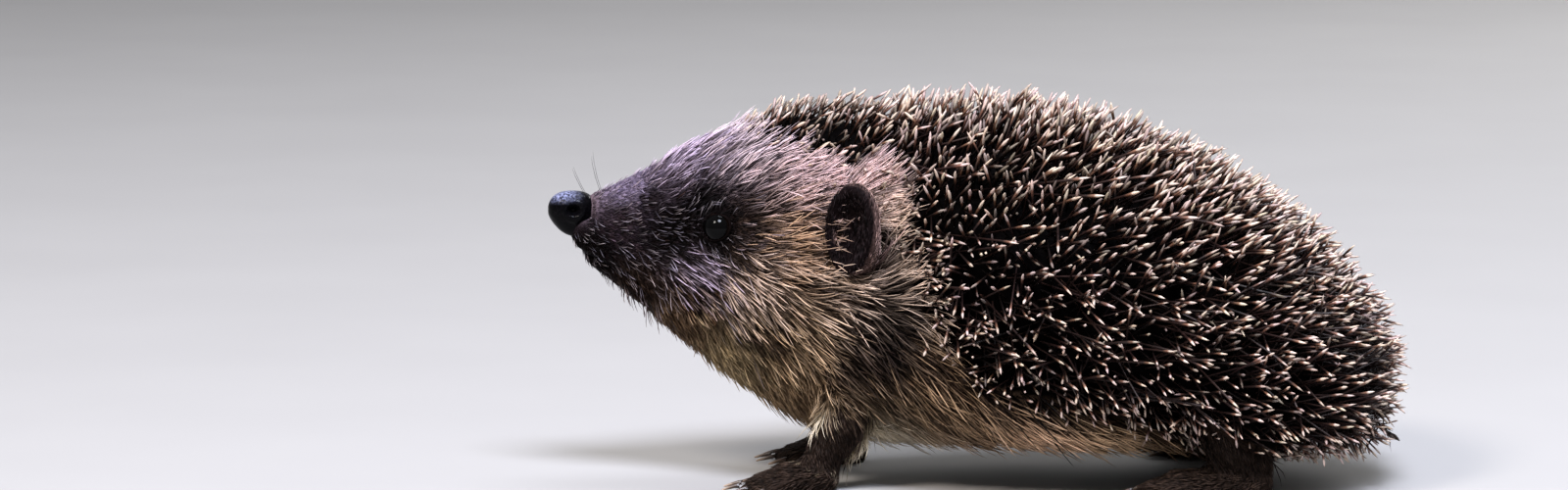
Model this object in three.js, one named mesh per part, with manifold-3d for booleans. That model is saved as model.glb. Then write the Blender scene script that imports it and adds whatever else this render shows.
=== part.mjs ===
// A life-size European hedgehog, standing still with its head raised to sniff the air.
// Millimetres, +Z up, nose towards -Y, the animal's left towards +X, floor at Z = 0.
// The solids reach out to the tips of the spines and the fur.
import * as THREE from "three";
import { mergeVertices } from "three/addons/utils/BufferGeometryUtils.js";
import Module from "manifold-3d";

const wasm = await Module();
wasm.setup();
const { degToRad, lerp, clamp, smoothstep } = THREE.MathUtils;

// ---------------------------------------------------------------- driving dimensions
const GAP = 0.35; // parting cut between neighbouring pieces
const FAR = 160; // past every surface of the animal

// Cross-sections of the furred body, rump to muzzle. Each is an egg between top and bottom,
// half its width at the height share "waist", rounder or flatter by its two powers.
const BODY_SECTIONS = [
  { y: 105, top: 28, bottom: 27, half: 0.5, waist: 0.5, above: 2.0, below: 2.0 },
  { y: 103, top: 38.5, bottom: 16, half: 20.5, waist: 0.46, above: 2.0, below: 2.0 },
  { y: 97, top: 48.5, bottom: 9, half: 32.5, waist: 0.44, above: 2.0, below: 2.2 },
  { y: 86, top: 61.5, bottom: 5, half: 42.5, waist: 0.42, above: 2.0, below: 2.4 },
  { y: 68, top: 76, bottom: 6, half: 49, waist: 0.42, above: 2.05, below: 2.5 },
  { y: 46, top: 87.5, bottom: 7.5, half: 52.5, waist: 0.42, above: 2.1, below: 2.5 },
  { y: 20, top: 95.5, bottom: 8.5, half: 53, waist: 0.42, above: 2.1, below: 2.4 },
  { y: -8, top: 97, bottom: 8.5, half: 46.5, waist: 0.44, above: 2.1, below: 2.2 },
  { y: -21, top: 96.6, bottom: 8.5, half: 39, waist: 0.47, above: 2.05, below: 2.1 },
  { y: -34, top: 96.8, bottom: 9.5, half: 32.5, waist: 0.5, above: 2.0, below: 2.0 },
  { y: -46, top: 97.2, bottom: 12.5, half: 28.5, waist: 0.53, above: 2.0, below: 1.8 },
  { y: -58, top: 94.4, bottom: 19.5, half: 23.5, waist: 0.54, above: 1.95, below: 1.75 },
  { y: -68, top: 89.8, bottom: 27, half: 18.2, waist: 0.53, above: 1.95, below: 1.85 },
  { y: -78, top: 84, bottom: 35.5, half: 13.4, waist: 0.51, above: 2.0, below: 2.0 },
  { y: -88, top: 77.8, bottom: 44.8, half: 9.8, waist: 0.5, above: 2.0, below: 2.1 },
  { y: -97, top: 73.4, bottom: 52.6, half: 7.2, waist: 0.52, above: 2.0, below: 2.1 },
  { y: -102, top: 71.4, bottom: 58.4, half: 5.2, waist: 0.55, above: 2.0, below: 2.0 },
  { y: -104, top: 66, bottom: 64, half: 0.5, waist: 0.5, above: 2.0, below: 2.0 },
];
const BODY_RINGS = 32;
const BODY_SIDES = 24;

// Rounded swellings of the body on both sides; a hollow has a negative lift.
const SWELLS = [
  { part: "cheek", at: [21, -51, 46], reach: [13, 15, 14], lift: 2.6 },
  { part: "brow", at: [10, -62, 80], reach: [8, 13, 8], lift: 1.3 },
  { part: "temple", at: [16, -71, 66], reach: [9, 9, 8], lift: -1.5 },
  { part: "lip", at: [6, -95, 59], reach: [5, 9, 5], lift: 1.2 },
  { part: "shoulder", at: [27, -31, 25], reach: [14, 16, 14], lift: 4.6 },
];

// The spiny mantle stands out over the fur, thinly at the crown and fully from the shoulders.
const MANTLE = { crown: 0.9, full: 3, thinFrom: -62, fullFrom: -24 };

// Parting lines, drawn in the side view as [y, z] and cut straight across the body.
const HEM_LINE = [
  [-62, 108], [-54, 96.5], [-40, 88.5], [-24, 82.5], [-16, 71], [-15, 58],
  [-10, 48], [2, 38], [18, 30.5], [40, 22.5], [72, 11], [96, 6.5], [116, 4],
];
const COLLAR_LINE = [[14, 76], [-13, 48], [-30, 29], [-46, 10], [-56, -8]];
const CHEEK_LINE = [[4, 92], [-22, 62], [-35, 50], [-54, 32], [-78, 4]];
const MUZZLE_LINE = [[-87, 96], [-84, 60], [-79, 20]];
const MOUTH_LINE = [[-116, 61.5], [-101, 58.4], [-89, 52.6], [-79, 47.4], [-73, 39], [-70, 12]];

const NOSE = { y: -104.8, z: 68.4, radii: [4.7, 5.1, 4.6] };
const NOSTRIL = { out: 4.4, back: 2.2, drop: 0.8, radii: [1.6, 2.2, 1.35] };
const EYE = { x: 16.1, y: -67, z: 64.5, radius: 3.7 };

// "swing" turns the opening of the ear forwards, "tip" leans its top backwards, in degrees.
const EAR = { x: 34, y: -33, z: 67.5, height: 24, width: 15.5, depth: 9.5, wall: 1.7, swing: 36, tip: 8 };

const FORELEG = { joints: [[15, -26, 38], [23, -30, 24], [22.5, -40, 9.4]], radii: [9.5, 5.6], step: 8 };
const HINDLEG = { joints: [[24, 56, 36], [33, 55, 20], [31, 69, 9]], radii: [13, 5.6], step: 9 };
const FOREFOOT = { sole: 9.5, width: 14.5, height: 8.2, spread: 42, toe: 8, claw: 6, turn: 8 };
const HINDFOOT = { sole: 20.5, width: 14, height: 8, spread: 30, toe: 8.2, claw: 5.5, turn: 10 };
const TOE = { count: 5, radius: 1.6, arch: 1.2, ahead: 2.4, row: 0.88 };
const CLAW_RADII = [0.95, 0.3];
const SOLE_SINK = 1.1; // how much of each rounded sole the floor plane flattens

const TAIL = { bones: [[0, 90, 19], [0, 101, 13.5], [0, 107, 9.5]], radii: [4.2, 1.5] };

const COLOURS = {
  spines: 0x4a3b33,
  fur: 0x6b5646,
  face: 0x584a4c,
  throat: 0x8a7358,
  leg: 0x3f332d,
  ear: 0x2c2328,
  eye: 0x0a090b,
  nose: 0x121114,
  claw: 0x8f7b68,
};
const SIDES = { left: 1, right: -1 };

// ---------------------------------------------------------------- closed forms
function solidOf(geometry) {
  const bare = geometry.clone();
  bare.deleteAttribute("normal");
  bare.deleteAttribute("uv");
  const merged = mergeVertices(bare, 1e-3);
  return new wasm.Manifold(
    new wasm.Mesh({
      numProp: 3,
      vertProperties: merged.attributes.position.array,
      triVerts: new Uint32Array(merged.index.array),
    }),
  );
}

function geometryOf(solid) {
  const mesh = solid.getMesh();
  const geometry = new THREE.BufferGeometry();
  geometry.setAttribute("position", new THREE.BufferAttribute(mesh.vertProperties, 3));
  geometry.setIndex(new THREE.BufferAttribute(mesh.triVerts, 1));
  return geometry.toNonIndexed();
}

// Moves every vertex of a geometry by a function of its position.
function reshaped(geometry, move) {
  const position = geometry.attributes.position;
  const point = new THREE.Vector3();
  for (let i = 0; i < position.count; i++) {
    const moved = move(point.fromBufferAttribute(position, i));
    position.setXYZ(i, moved.x, moved.y, moved.z);
  }
  return geometry;
}

// Turns a geometry's faces round where they point inwards.
function facingOut(geometry) {
  const made = solidOf(geometry);
  if (made.volume() > 0) return made;
  const index = geometry.index.array;
  for (let i = 0; i < index.length; i += 3) {
    [index[i + 1], index[i + 2]] = [index[i + 2], index[i + 1]];
  }
  return solidOf(geometry);
}

const sectionCurve = (keys) =>
  new THREE.CatmullRomCurve3(
    BODY_SECTIONS.map((section) => new THREE.Vector3(...keys.map((key) => section[key]))),
    false,
    "catmullrom",
    0.5,
  );
const outlineCurve = sectionCurve(["y", "top", "bottom"]);
const widthCurve = sectionCurve(["half", "waist", "half"]);
const powerCurve = sectionCurve(["above", "below", "above"]);

function swellAt(x, y, z) {
  return SWELLS.reduce((sum, { at, reach, lift }) => {
    const away = [Math.abs(x), y, z].map((value, i) => (value - at[i]) / reach[i]);
    return sum + lift * Math.exp(-away.reduce((total, part) => total + part * part, 0));
  }, 0);
}

// The whole furred body in one piece, grown outwards by the depth for each y.
function bodySolid(depthAt) {
  const sphere = new THREE.SphereGeometry(1, BODY_SIDES, BODY_RINGS);
  const wrapped = reshaped(sphere, (p) => {
    const along = Math.acos(clamp(p.y, -1, 1)) / Math.PI;
    const angle = Math.atan2(p.x, p.z);
    const outline = outlineCurve.getPoint(along);
    const width = widthCurve.getPoint(along);
    const power = powerCurve.getPoint(along);
    const depth = depthAt(outline.x);
    if (Math.hypot(p.x, p.z) < 1e-6) {
      return { x: 0, y: outline.x + Math.sign(p.y) * depth, z: (outline.y + outline.z) / 2 };
    }
    const [top, bottom] = [outline.y + depth, outline.z - depth];
    const waist = bottom + (top - bottom) * width.y;
    const upper = Math.cos(angle) > 0;
    const bend = 2 / (upper ? power.x : power.y);
    const reach = (upper ? top : bottom) - waist;
    const x = Math.sign(p.x) * (width.x + depth) * Math.abs(Math.sin(angle)) ** bend;
    const y = outline.x + depth * p.y;
    const z = waist + reach * Math.abs(Math.cos(angle)) ** bend;
    const swollen = 1 + swellAt(x, y, z) / Math.hypot(x, z - waist);
    return { x: x * swollen, y, z: waist + (z - waist) * swollen };
  });
  return solidOf(wrapped);
}

const evenly = (depth) => () => depth;
const mantleDepth = (extra) => (y) =>
  extra + lerp(MANTLE.crown, MANTLE.full, smoothstep(y, MANTLE.thinFrom, MANTLE.fullFrom));

function ellipsoid(centre, radii, sides = 16, rings = 10) {
  return solidOf(new THREE.SphereGeometry(1, sides, rings).scale(...radii).translate(...centre));
}

// A capsule bent along a smooth path through the points. Its radius tapers from the first
// of the radii to the second, and across the path it is "broad" times as wide.
function limb(points, radii, { sides = 12, caps = 3, steps = 5, broad = 1, grow = 0 } = {}) {
  const path = new THREE.CatmullRomCurve3(points.map((p) => new THREE.Vector3(...p)));
  const capsule = new THREE.CapsuleGeometry(1, 2, caps, sides, steps);
  const bent = reshaped(capsule, (p) => {
    const share = clamp((p.y + 1) / 2, 0, 1);
    const beyond = p.y - clamp(p.y, -1, 1);
    const radius = lerp(radii[0], radii[1], share);
    const forward = path.getTangentAt(share);
    const upward = new THREE.Vector3(1, 0, 0).cross(forward).normalize();
    const across = forward.clone().cross(upward).normalize();
    return path
      .getPointAt(share)
      .addScaledVector(forward, beyond * (radius + grow))
      .addScaledVector(across, p.x * (radius * broad + grow))
      .addScaledVector(upward, -p.z * (radius + grow));
  });
  return facingOut(bent);
}

// A wide slab whose side view is bounded by a smooth line, moved sideways by "offset",
// and by far corners.
function sideCutter(line, offset, corners) {
  const curve = new THREE.SplineCurve(line.map(([y, z]) => new THREE.Vector2(y, z)));
  const steps = 2 * (line.length - 1);
  const edge = [];
  for (let i = 0; i <= steps; i++) {
    const tangent = curve.getTangent(i / steps);
    const normal = new THREE.Vector2(-tangent.y, tangent.x);
    edge.push(curve.getPoint(i / steps).addScaledVector(normal, offset));
  }
  const outline = new THREE.Shape([...edge, ...corners.map(([y, z]) => new THREE.Vector2(y, z))]);
  const slab = new THREE.ExtrudeGeometry(outline, { depth: 2 * FAR, bevelEnabled: false });
  const crosswise = new THREE.Matrix4().set(0, 0, 1, -FAR, 1, 0, 0, 0, 0, 1, 0, 0, 0, 0, 0, 1);
  return facingOut(mergeVertices(slab.applyMatrix4(crosswise)));
}

// Parts a solid along a side-view line into what lies left and right of the line's direction.
function parted(solid, line, leftCorners, rightCorners) {
  return [
    solid.intersect(sideCutter(line, GAP / 2, leftCorners)),
    solid.intersect(sideCutter(line, -GAP / 2, rightCorners)),
  ];
}

// ---------------------------------------------------------------- the group of meshes
const hedgehog = new THREE.Group();

// Keeps the biggest body of a solid, and gives it a name and its own material.
function add(name, solid, colour, roughness = 0.85) {
  const body = solid.decompose().reduce((a, b) => (a.volume() > b.volume() ? a : b));
  const material = new THREE.MeshStandardMaterial({ color: COLOURS[colour], roughness, metalness: 0 });
  const mesh = new THREE.Mesh(geometryOf(body), material);
  mesh.name = name;
  hedgehog.add(mesh);
}

// ---------------------------------------------------------------- body, head and face
const hemEnd = HEM_LINE.at(-1)[1];
const hemStart = HEM_LINE[0][0];
const overHem = [[FAR, hemEnd], [FAR, FAR], [hemStart, FAR]];
const underHem = [[FAR, hemEnd], [FAR, -FAR], [-FAR, -FAR], [-FAR, FAR], [hemStart, FAR]];
const mantle = bodySolid(mantleDepth(0)).intersect(sideCutter(HEM_LINE, GAP / 2, overHem));
const furred = bodySolid(evenly(0)).intersect(sideCutter(HEM_LINE, -GAP / 2, underHem));

const behind = [[FAR, -FAR], [FAR, FAR]];
const ahead = [[-FAR, -FAR], [-FAR, FAR]];
const [trunk, forward] = parted(furred, COLLAR_LINE, behind, ahead);
const [neck, wholeHead] = parted(forward, CHEEK_LINE, behind, ahead);
const [upperHead, jaw] = parted(wholeHead, MOUTH_LINE, [...behind, [-FAR, FAR]], [[-FAR, -FAR]]);
const [head, muzzle] = parted(upperHead, MUZZLE_LINE, behind, ahead);

const noseSolid = (grow) => ellipsoid([0, NOSE.y, NOSE.z], NOSE.radii.map((radius) => radius + grow), 15, 9);
const eyeSolid = (side, grow) =>
  ellipsoid([side * EYE.x, EYE.y, EYE.z], Array(3).fill(EYE.radius + grow), 12, 8);

// An ear is an ellipsoid shell open to the outside, tilted about its middle.
function earSolid(side, grow) {
  const lobe = (depth, width, height, shift) =>
    solidOf(
      new THREE.SphereGeometry(1, 13, 8)
        .scale(depth / 2 + grow, width / 2 + grow, height / 2 + grow)
        .translate(side * shift, 0, 0)
        .rotateX(degToRad(-EAR.tip))
        .rotateZ(degToRad(-side * EAR.swing))
        .translate(side * EAR.x, EAR.y, EAR.z),
    );
  const { depth, width, height, wall } = EAR;
  return lobe(depth, width, height, 0).subtract(lobe(depth, width - 2 * wall, height - 2 * wall, 2 * wall));
}

const earLobes = Object.values(SIDES).map((side) => earSolid(side, GAP));
const tail = limb(TAIL.bones, TAIL.radii, { sides: 8, caps: 2 });
const tailRoom = limb(TAIL.bones, TAIL.radii, { sides: 8, caps: 2, grow: GAP });
const eyeRooms = Object.values(SIDES).map((side) => eyeSolid(side, GAP));
const spiny = earLobes.reduce((solid, lobe) => solid.subtract(lobe), mantle.subtract(tailRoom));
add("mantle", spiny, "spines", 0.7);
add("trunk", trunk.subtract(tailRoom), "fur");
add("neck", neck, "throat");
add("head", eyeRooms.reduce((solid, room) => solid.subtract(room), head), "face");
add("muzzle", muzzle.subtract(noseSolid(GAP)), "face");
add("lower_jaw", jaw.subtract(noseSolid(GAP)), "throat");
add("tail", tail, "leg");

const nostrils = Object.values(SIDES).map((side) =>
  ellipsoid([side * NOSTRIL.out, NOSE.y - NOSTRIL.back, NOSE.z - NOSTRIL.drop], NOSTRIL.radii, 8, 5),
);
add("nose", nostrils.reduce((solid, hole) => solid.subtract(hole), noseSolid(0)), "nose", 0.25);

const skinRoom = bodySolid(evenly(GAP));
for (const [name, side] of Object.entries(SIDES)) {
  add(`eye_${name}`, eyeSolid(side, 0), "eye", 0.08);
  add(`ear_${name}`, earSolid(side, 0).subtract(skinRoom), "ear");
}

// ---------------------------------------------------------------- legs, feet and claws
const aboveFloor = solidOf(new THREE.BoxGeometry(2 * FAR, 2 * FAR, 2 * FAR).translate(0, 0, FAR));
const mantleRoom = bodySolid(mantleDepth(GAP)).intersect(sideCutter(HEM_LINE, -GAP / 2, overHem));
const coatRoom = skinRoom.add(mantleRoom);

// Where the parts of a foot lie: its sole from heel to ball, and its toes fanned from the ball.
function footPlan(form, [ankleX, ankleY], side) {
  const yaw = side * degToRad(form.turn);
  const place = (from, heading, distance, z) => [
    from[0] + Math.sin(heading) * distance,
    from[1] - Math.cos(heading) * distance,
    z,
  ];
  const middle = form.height / 2 - SOLE_SINK;
  const heel = [ankleX, ankleY, middle];
  const ball = place(heel, yaw, form.sole, middle);
  const toes = Array.from({ length: TOE.count }, (_, i) => {
    const fan = i / (TOE.count - 1) - 0.5;
    const heading = yaw + degToRad(form.spread) * fan;
    const front = place(ball, yaw, TOE.ahead * (1 - 4 * fan * fan), TOE.radius + TOE.arch);
    const root = place(front, yaw + Math.PI / 2, form.width * TOE.row * fan, TOE.radius + TOE.arch);
    const reach = form.toe * (1 - fan * fan);
    const knuckle = place(root, heading, reach * 0.6, TOE.radius + TOE.arch);
    const tip = place(root, heading, reach, TOE.radius - 0.4);
    const bend = place(tip, heading, form.claw * 0.5, TOE.radius - 0.1);
    const point = place(tip, heading, form.claw, 0.55);
    const quick = place(tip, heading, -1.2, TOE.radius + 0.1);
    return { bones: [root, knuckle, tip], claw: [quick, bend, point] };
  });
  return { sole: [heel, place(heel, yaw, form.sole / 2, middle), ball], toes };
}

function footSolid(form, plan, grow) {
  const radius = form.height / 2;
  const broad = form.width / form.height;
  const pad = limb(plan.sole, [radius - 0.6, radius], { sides: 10, caps: 3, steps: 2, broad, grow });
  return plan.toes.reduce(
    (foot, { bones }) =>
      foot.add(limb(bones, [TOE.radius, TOE.radius - 0.15], { sides: 6, caps: 2, steps: 2, grow })),
    pad,
  );
}

for (const [pair, leg, form] of [["fore", FORELEG, FOREFOOT], ["hind", HINDLEG, HINDFOOT]]) {
  for (const [name, side] of Object.entries(SIDES)) {
    const back = side < 0 ? leg.step : 0;
    const joints = leg.joints.map(([x, y, z], i) => [side * x, y + (back * i) / 2, z]);
    const plan = footPlan(form, joints.at(-1), side);
    const footRoom = footSolid(form, plan, GAP);
    const shank = limb(joints, leg.radii, { steps: 4 }).subtract(coatRoom).subtract(footRoom);
    const foot = footSolid(form, plan, 0).subtract(coatRoom);
    add(`${pair}leg_${name}`, shank, "leg");
    add(`${pair}foot_${name}`, foot.intersect(aboveFloor), "leg");
    plan.toes.forEach(({ claw }, i) => {
      const horn = limb(claw, CLAW_RADII, { sides: 6, caps: 1, steps: 2 });
      add(`${pair}claw_${name}_${i + 1}`, horn.subtract(footRoom).intersect(aboveFloor), "claw", 0.5);
    });
  }
}

// The origin is on the floor, under the middle of the animal's box.
const box = new THREE.Box3().setFromObject(hedgehog);
hedgehog.position.set(-(box.min.x + box.max.x) / 2, -(box.min.y + box.max.y) / 2, -box.min.z);

export default hedgehog;
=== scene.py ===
"""A still, life-size hedgehog: one skin, its spines and fur, eyes, nose, claws and whiskers."""

import logging
import math
from collections.abc import Iterable, Sequence
from dataclasses import dataclass, field
from enum import Enum, IntEnum

import bmesh
import bpy
import numpy as np
from mathutils import Matrix, Vector
from mathutils.bvhtree import BVHTree


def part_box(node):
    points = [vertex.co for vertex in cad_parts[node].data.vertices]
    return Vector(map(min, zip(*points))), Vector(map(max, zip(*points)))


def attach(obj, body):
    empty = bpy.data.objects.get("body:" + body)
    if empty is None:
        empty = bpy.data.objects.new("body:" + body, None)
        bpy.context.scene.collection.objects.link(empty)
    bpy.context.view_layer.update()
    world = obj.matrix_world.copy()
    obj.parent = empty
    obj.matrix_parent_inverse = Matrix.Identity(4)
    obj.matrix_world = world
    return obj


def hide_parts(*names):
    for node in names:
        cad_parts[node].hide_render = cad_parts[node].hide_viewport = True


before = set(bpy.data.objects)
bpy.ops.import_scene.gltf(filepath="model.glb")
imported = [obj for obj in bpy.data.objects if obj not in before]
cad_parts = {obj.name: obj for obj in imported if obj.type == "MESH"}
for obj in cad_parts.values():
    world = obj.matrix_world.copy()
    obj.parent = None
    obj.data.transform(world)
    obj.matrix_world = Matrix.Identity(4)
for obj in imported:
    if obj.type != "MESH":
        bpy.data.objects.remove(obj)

LOG = logging.getLogger("hedgehog")
MM = 0.001  # a millimetre in metres
BODY = "root"
UNWRAP_MAP = "OFBake"
PATCH = 0.003  # how wide a strand's patch is on its map
Array = np.ndarray

SIDES = {"left": 1, "right": -1}
TRUNK_NODES = ("mantle", "trunk", "neck", "head", "muzzle", "lower_jaw", "tail")
LEG_NODES = tuple(f"{leg}leg_{side}" for leg in ("fore", "hind") for side in SIDES)
FOOT_NODES = tuple(f"{leg}foot_{side}" for leg in ("fore", "hind") for side in SIDES)
EAR_NODES = tuple(f"ear_{side}" for side in SIDES)
CLAW_NODES = tuple(
    f"{leg}claw_{side}_{count}" for leg in ("fore", "hind") for side in SIDES for count in range(1, 6)
)


# ---------------------------------------------------------------- small helpers
def rgb(code: str) -> tuple[float, float, float]:
    """Turns a colour code such as "6b5646" into linear red, green and blue.

    Args:
        code: Six hexadecimal digits.

    Returns:
        The linear colour.
    """
    shares = (int(code[i : i + 2], 16) / 255 for i in (0, 2, 4))
    return tuple(s / 12.92 if s <= 0.04045 else ((s + 0.055) / 1.055) ** 2.4 for s in shares)


def eased(values: Array | float, low: float, high: float) -> Array:
    """Rises smoothly from 0 at low to 1 at high.

    Args:
        values: The numbers to ease.
        low: Where the rise starts.
        high: Where it ends.

    Returns:
        The eased shares.
    """
    share = np.clip((np.asarray(values, float) - low) / (high - low), 0, 1)
    return share * share * (3 - 2 * share)


def ridge(away: Array, width: float) -> Array:
    """Gives a rounded ridge, 1 at its crest, that fades over a width to each side."""
    return np.exp(-((away / width) ** 2))


def unit(vectors: Array) -> Array:
    """Scales rows of vectors to length 1."""
    return vectors / np.maximum(np.linalg.norm(vectors, axis=-1, keepdims=True), 1e-12)


def blend(a: Array, b: Array, share: Array | float) -> Array:
    """Goes from a to b by a share, or by a column of shares."""
    return a + (b - a) * share


def flattened(vectors: Array, normals: Array) -> Array:
    """Lays vectors in the planes across the normals and scales them to length 1."""
    return unit(vectors - normals * (vectors * normals).sum(-1, keepdims=True))


def box_of(node: str) -> tuple[Array, Array]:
    """Gives the lowest and highest corners of a CAD node."""
    low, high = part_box(node)
    return np.array(low), np.array(high)


def placed(name: str, mesh: bpy.types.Mesh, material: bpy.types.Material) -> bpy.types.Object:
    """Adds a finished piece that rides on the body.

    Args:
        name: The piece's name.
        mesh: Its mesh, already in place.
        material: Its finish.

    Returns:
        The new object.
    """
    piece = bpy.data.objects.new(name, mesh)
    bpy.context.scene.collection.objects.link(piece)
    mesh.materials.clear()
    mesh.materials.append(material)
    mesh.polygons.foreach_set("use_smooth", np.ones(len(mesh.polygons), bool))
    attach(piece, BODY)
    mesh.calc_loop_triangles()
    LOG.info("%s: %d triangles", name, len(mesh.loop_triangles))
    return piece


def merged_nodes(names: Iterable[str], grow: float = 0.0) -> bmesh.types.BMesh:
    """Copies CAD nodes into one bmesh, merged so that each is closed.

    Args:
        names: The nodes.
        grow: How far every surface moves outwards, in metres.

    Returns:
        The new bmesh.
    """
    bm = bmesh.new()
    for name in names:
        bm.from_mesh(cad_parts[name].data)
    bmesh.ops.remove_doubles(bm, verts=bm.verts, dist=1e-6)
    bm.normal_update()
    for vert in bm.verts if grow else ():
        vert.co += vert.normal * grow
    return bm


def mesh_of(name: str, bm: bmesh.types.BMesh) -> bpy.types.Mesh:
    """Writes a bmesh to a new mesh and frees it.

    Args:
        name: The new mesh's name.
        bm: The bmesh.

    Returns:
        The new mesh.
    """
    mesh = bpy.data.meshes.new(name)
    bm.to_mesh(mesh)
    bm.free()
    return mesh


def modified(mesh: bpy.types.Mesh, kind: str, **settings: object) -> bpy.types.Mesh:
    """Puts a mesh through one modifier.

    Args:
        mesh: The mesh, which is used up.
        kind: The modifier's type.
        **settings: The modifier's settings.

    Returns:
        The new mesh.
    """
    holder = bpy.data.objects.new("holder", mesh)
    bpy.context.scene.collection.objects.link(holder)
    modifier = holder.modifiers.new("step", kind)
    for key, value in settings.items():
        setattr(modifier, key, value)
    graph = bpy.context.evaluated_depsgraph_get()
    made = bpy.data.meshes.new_from_object(holder.evaluated_get(graph))
    name = mesh.name
    bpy.data.objects.remove(holder)
    bpy.data.meshes.remove(mesh)
    made.name = name
    return made


def add_ball(bm: bmesh.types.BMesh, centre: Sequence[float], radii: Sequence[float]) -> None:
    """Adds a ball to a bmesh.

    Args:
        bm: The bmesh.
        centre: The ball's middle.
        radii: Half its width, length and height.
    """
    made = bmesh.ops.create_icosphere(bm, subdivisions=3, radius=1)
    bmesh.ops.scale(bm, verts=made["verts"], vec=Vector(radii))
    bmesh.ops.translate(bm, verts=made["verts"], vec=Vector(centre))


def value_attribute(mesh: bpy.types.Mesh, name: str, values: Array) -> None:
    """Writes a number for each point of a mesh."""
    mesh.attributes.new(name, "FLOAT", "POINT").data.foreach_set("value", np.ravel(values))


def colour_attribute(mesh: bpy.types.Mesh, name: str, colours: Array) -> None:
    """Writes a linear colour for each point of a mesh."""
    rows = np.hstack([np.clip(colours, 0, 1), np.ones((len(colours), 1))]).astype(np.float32)
    mesh.attributes.new(name, "FLOAT_COLOR", "POINT").data.foreach_set("color", rows.ravel())


class Surface:
    """A mesh's points, edges and triangles as arrays, to move, smooth and scatter on."""

    def __init__(self, mesh: bpy.types.Mesh) -> None:
        """Reads a mesh.

        Args:
            mesh: The mesh to read.
        """
        self.mesh = mesh
        self.points = np.empty(len(mesh.vertices) * 3)
        mesh.vertices.foreach_get("co", self.points)
        self.points = self.points.reshape(-1, 3)
        self.edges = np.empty(len(mesh.edges) * 2, np.int32)
        mesh.edges.foreach_get("vertices", self.edges)
        self.edges = self.edges.reshape(-1, 2)
        mesh.calc_loop_triangles()
        self.triangles = np.empty(len(mesh.loop_triangles) * 3, np.int32)
        mesh.loop_triangles.foreach_get("vertices", self.triangles)
        self.triangles = self.triangles.reshape(-1, 3)
        count = np.bincount(self.edges.ravel(), minlength=len(self.points))
        self.degree = np.maximum(count, 1)[:, None]

    def across(self) -> Array:
        """Finds each triangle's normal, as long as twice its area."""
        a, b, c = (self.points[self.triangles[:, i]] for i in range(3))
        return np.cross(b - a, c - a)

    def normals(self) -> Array:
        """Finds each point's outward normal."""
        across = self.across()
        total = np.zeros_like(self.points)
        for corner in range(3):
            for axis in range(3):
                picked = self.triangles[:, corner]
                total[:, axis] += np.bincount(picked, across[:, axis], len(self.points))
        return unit(total)

    def smoothed(self, values: Array, times: int, share: Array | float = 0.5) -> Array:
        """Evens values out over neighbouring points.

        Args:
            values: One row or number for each point.
            times: How many rounds.
            share: How far each round goes towards the neighbours' mean.

        Returns:
            The smoothed values, in the same shape.
        """
        rows = values.reshape(len(self.points), -1).astype(float)
        a, b = self.edges.T
        for _ in range(times):
            near = np.empty_like(rows)
            for axis in range(rows.shape[1]):
                near[:, axis] = np.bincount(a, rows[b, axis], len(rows))
                near[:, axis] += np.bincount(b, rows[a, axis], len(rows))
            rows = blend(rows, near / self.degree, share)
        return rows.reshape(values.shape)

    def write(self) -> None:
        """Puts the points back into the mesh."""
        self.mesh.vertices.foreach_set("co", self.points.ravel())
        self.mesh.update()

    def tree(self) -> BVHTree:
        """Makes a search tree of the triangles."""
        return BVHTree.FromPolygons(self.points.tolist(), self.triangles.tolist())


def solids_tree(names: Sequence[str]) -> tuple[BVHTree, list[str]]:
    """Makes one search tree of several CAD nodes.

    Args:
        names: The nodes.

    Returns:
        The tree, and the node that each of its triangles belongs to.
    """
    corners, faces, owners = [], [], []
    for name in names:
        solid = Surface(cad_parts[name].data)
        faces += (solid.triangles + len(corners)).tolist()
        corners += solid.points.tolist()
        owners += [name] * len(solid.triangles)
    return BVHTree.FromPolygons(corners, faces), owners


# ---------------------------------------------------------------- the coat's plan
class Bed(Enum):
    """A part of the fur, which grows as one piece or as a left and a right one."""

    MUZZLE = "muzzle"
    FACE = "face"
    CROWN = "crown"
    THROAT = "throat"
    NECK = "neck"
    FLANK = "flank"
    BELLY = "belly"
    LEGS = "legs"
    EARS = "ears"
    FRINGE = "fringe"


class Tone(Enum):
    """The colours of the coat, from the darkest to the palest."""

    INK = "050303"
    SOOT = "0e0807"
    BLACK_BROWN = "160e0c"
    UMBER = "1d1310"
    DARK_BROWN = "271a15"
    BROWN = "3e2d23"
    PLUM = "43363c"
    SLATE = "3c3236"
    EARTH = "483322"
    # The lilac tones are partly the coat's own mauve grey and partly painted skylight: the light's
    # bluish-purple cast on the face is laid into the hair.
    LILAC_GREY = "594e60"
    DUSK = "604e58"
    TAUPE = "675346"
    OLIVE = "6a583f"
    DRAB = "80684f"
    ROSE_GREY = "908084"
    FAWN = "a48a6c"
    SAND = "bc9c80"
    STRAW = "bca680"
    ASH_ROSE = "c6acaa"
    # Partly painted skylight, like LILAC_GREY.
    LILAC = "c0aec2"
    PALE_ROSE = "dfcbd0"
    CREAM = "e9cdb6"
    IVORY = "f2e6cc"


@dataclass(frozen=True)
class Place:
    """A named place on the coat, on both sides: its colours and how its hair grows.

    Attributes:
        name: What the place is called.
        bed: The part of the fur that it belongs to.
        at: Where it is on the animal's left, in millimetres.
        reach: How far its influence goes, in millimetres.
        deep: The colour of its hairs at the root.
        light: Their colour towards the end.
        length: Their length in millimetres.
        lie: How far they point upwards from straight back, in degrees.
        depth: How deep the skin lies under the solids, in millimetres.
    """

    name: str
    bed: Bed
    at: tuple[float, float, float]
    reach: float
    deep: Tone
    light: Tone
    length: float
    lie: float
    depth: float


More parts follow.
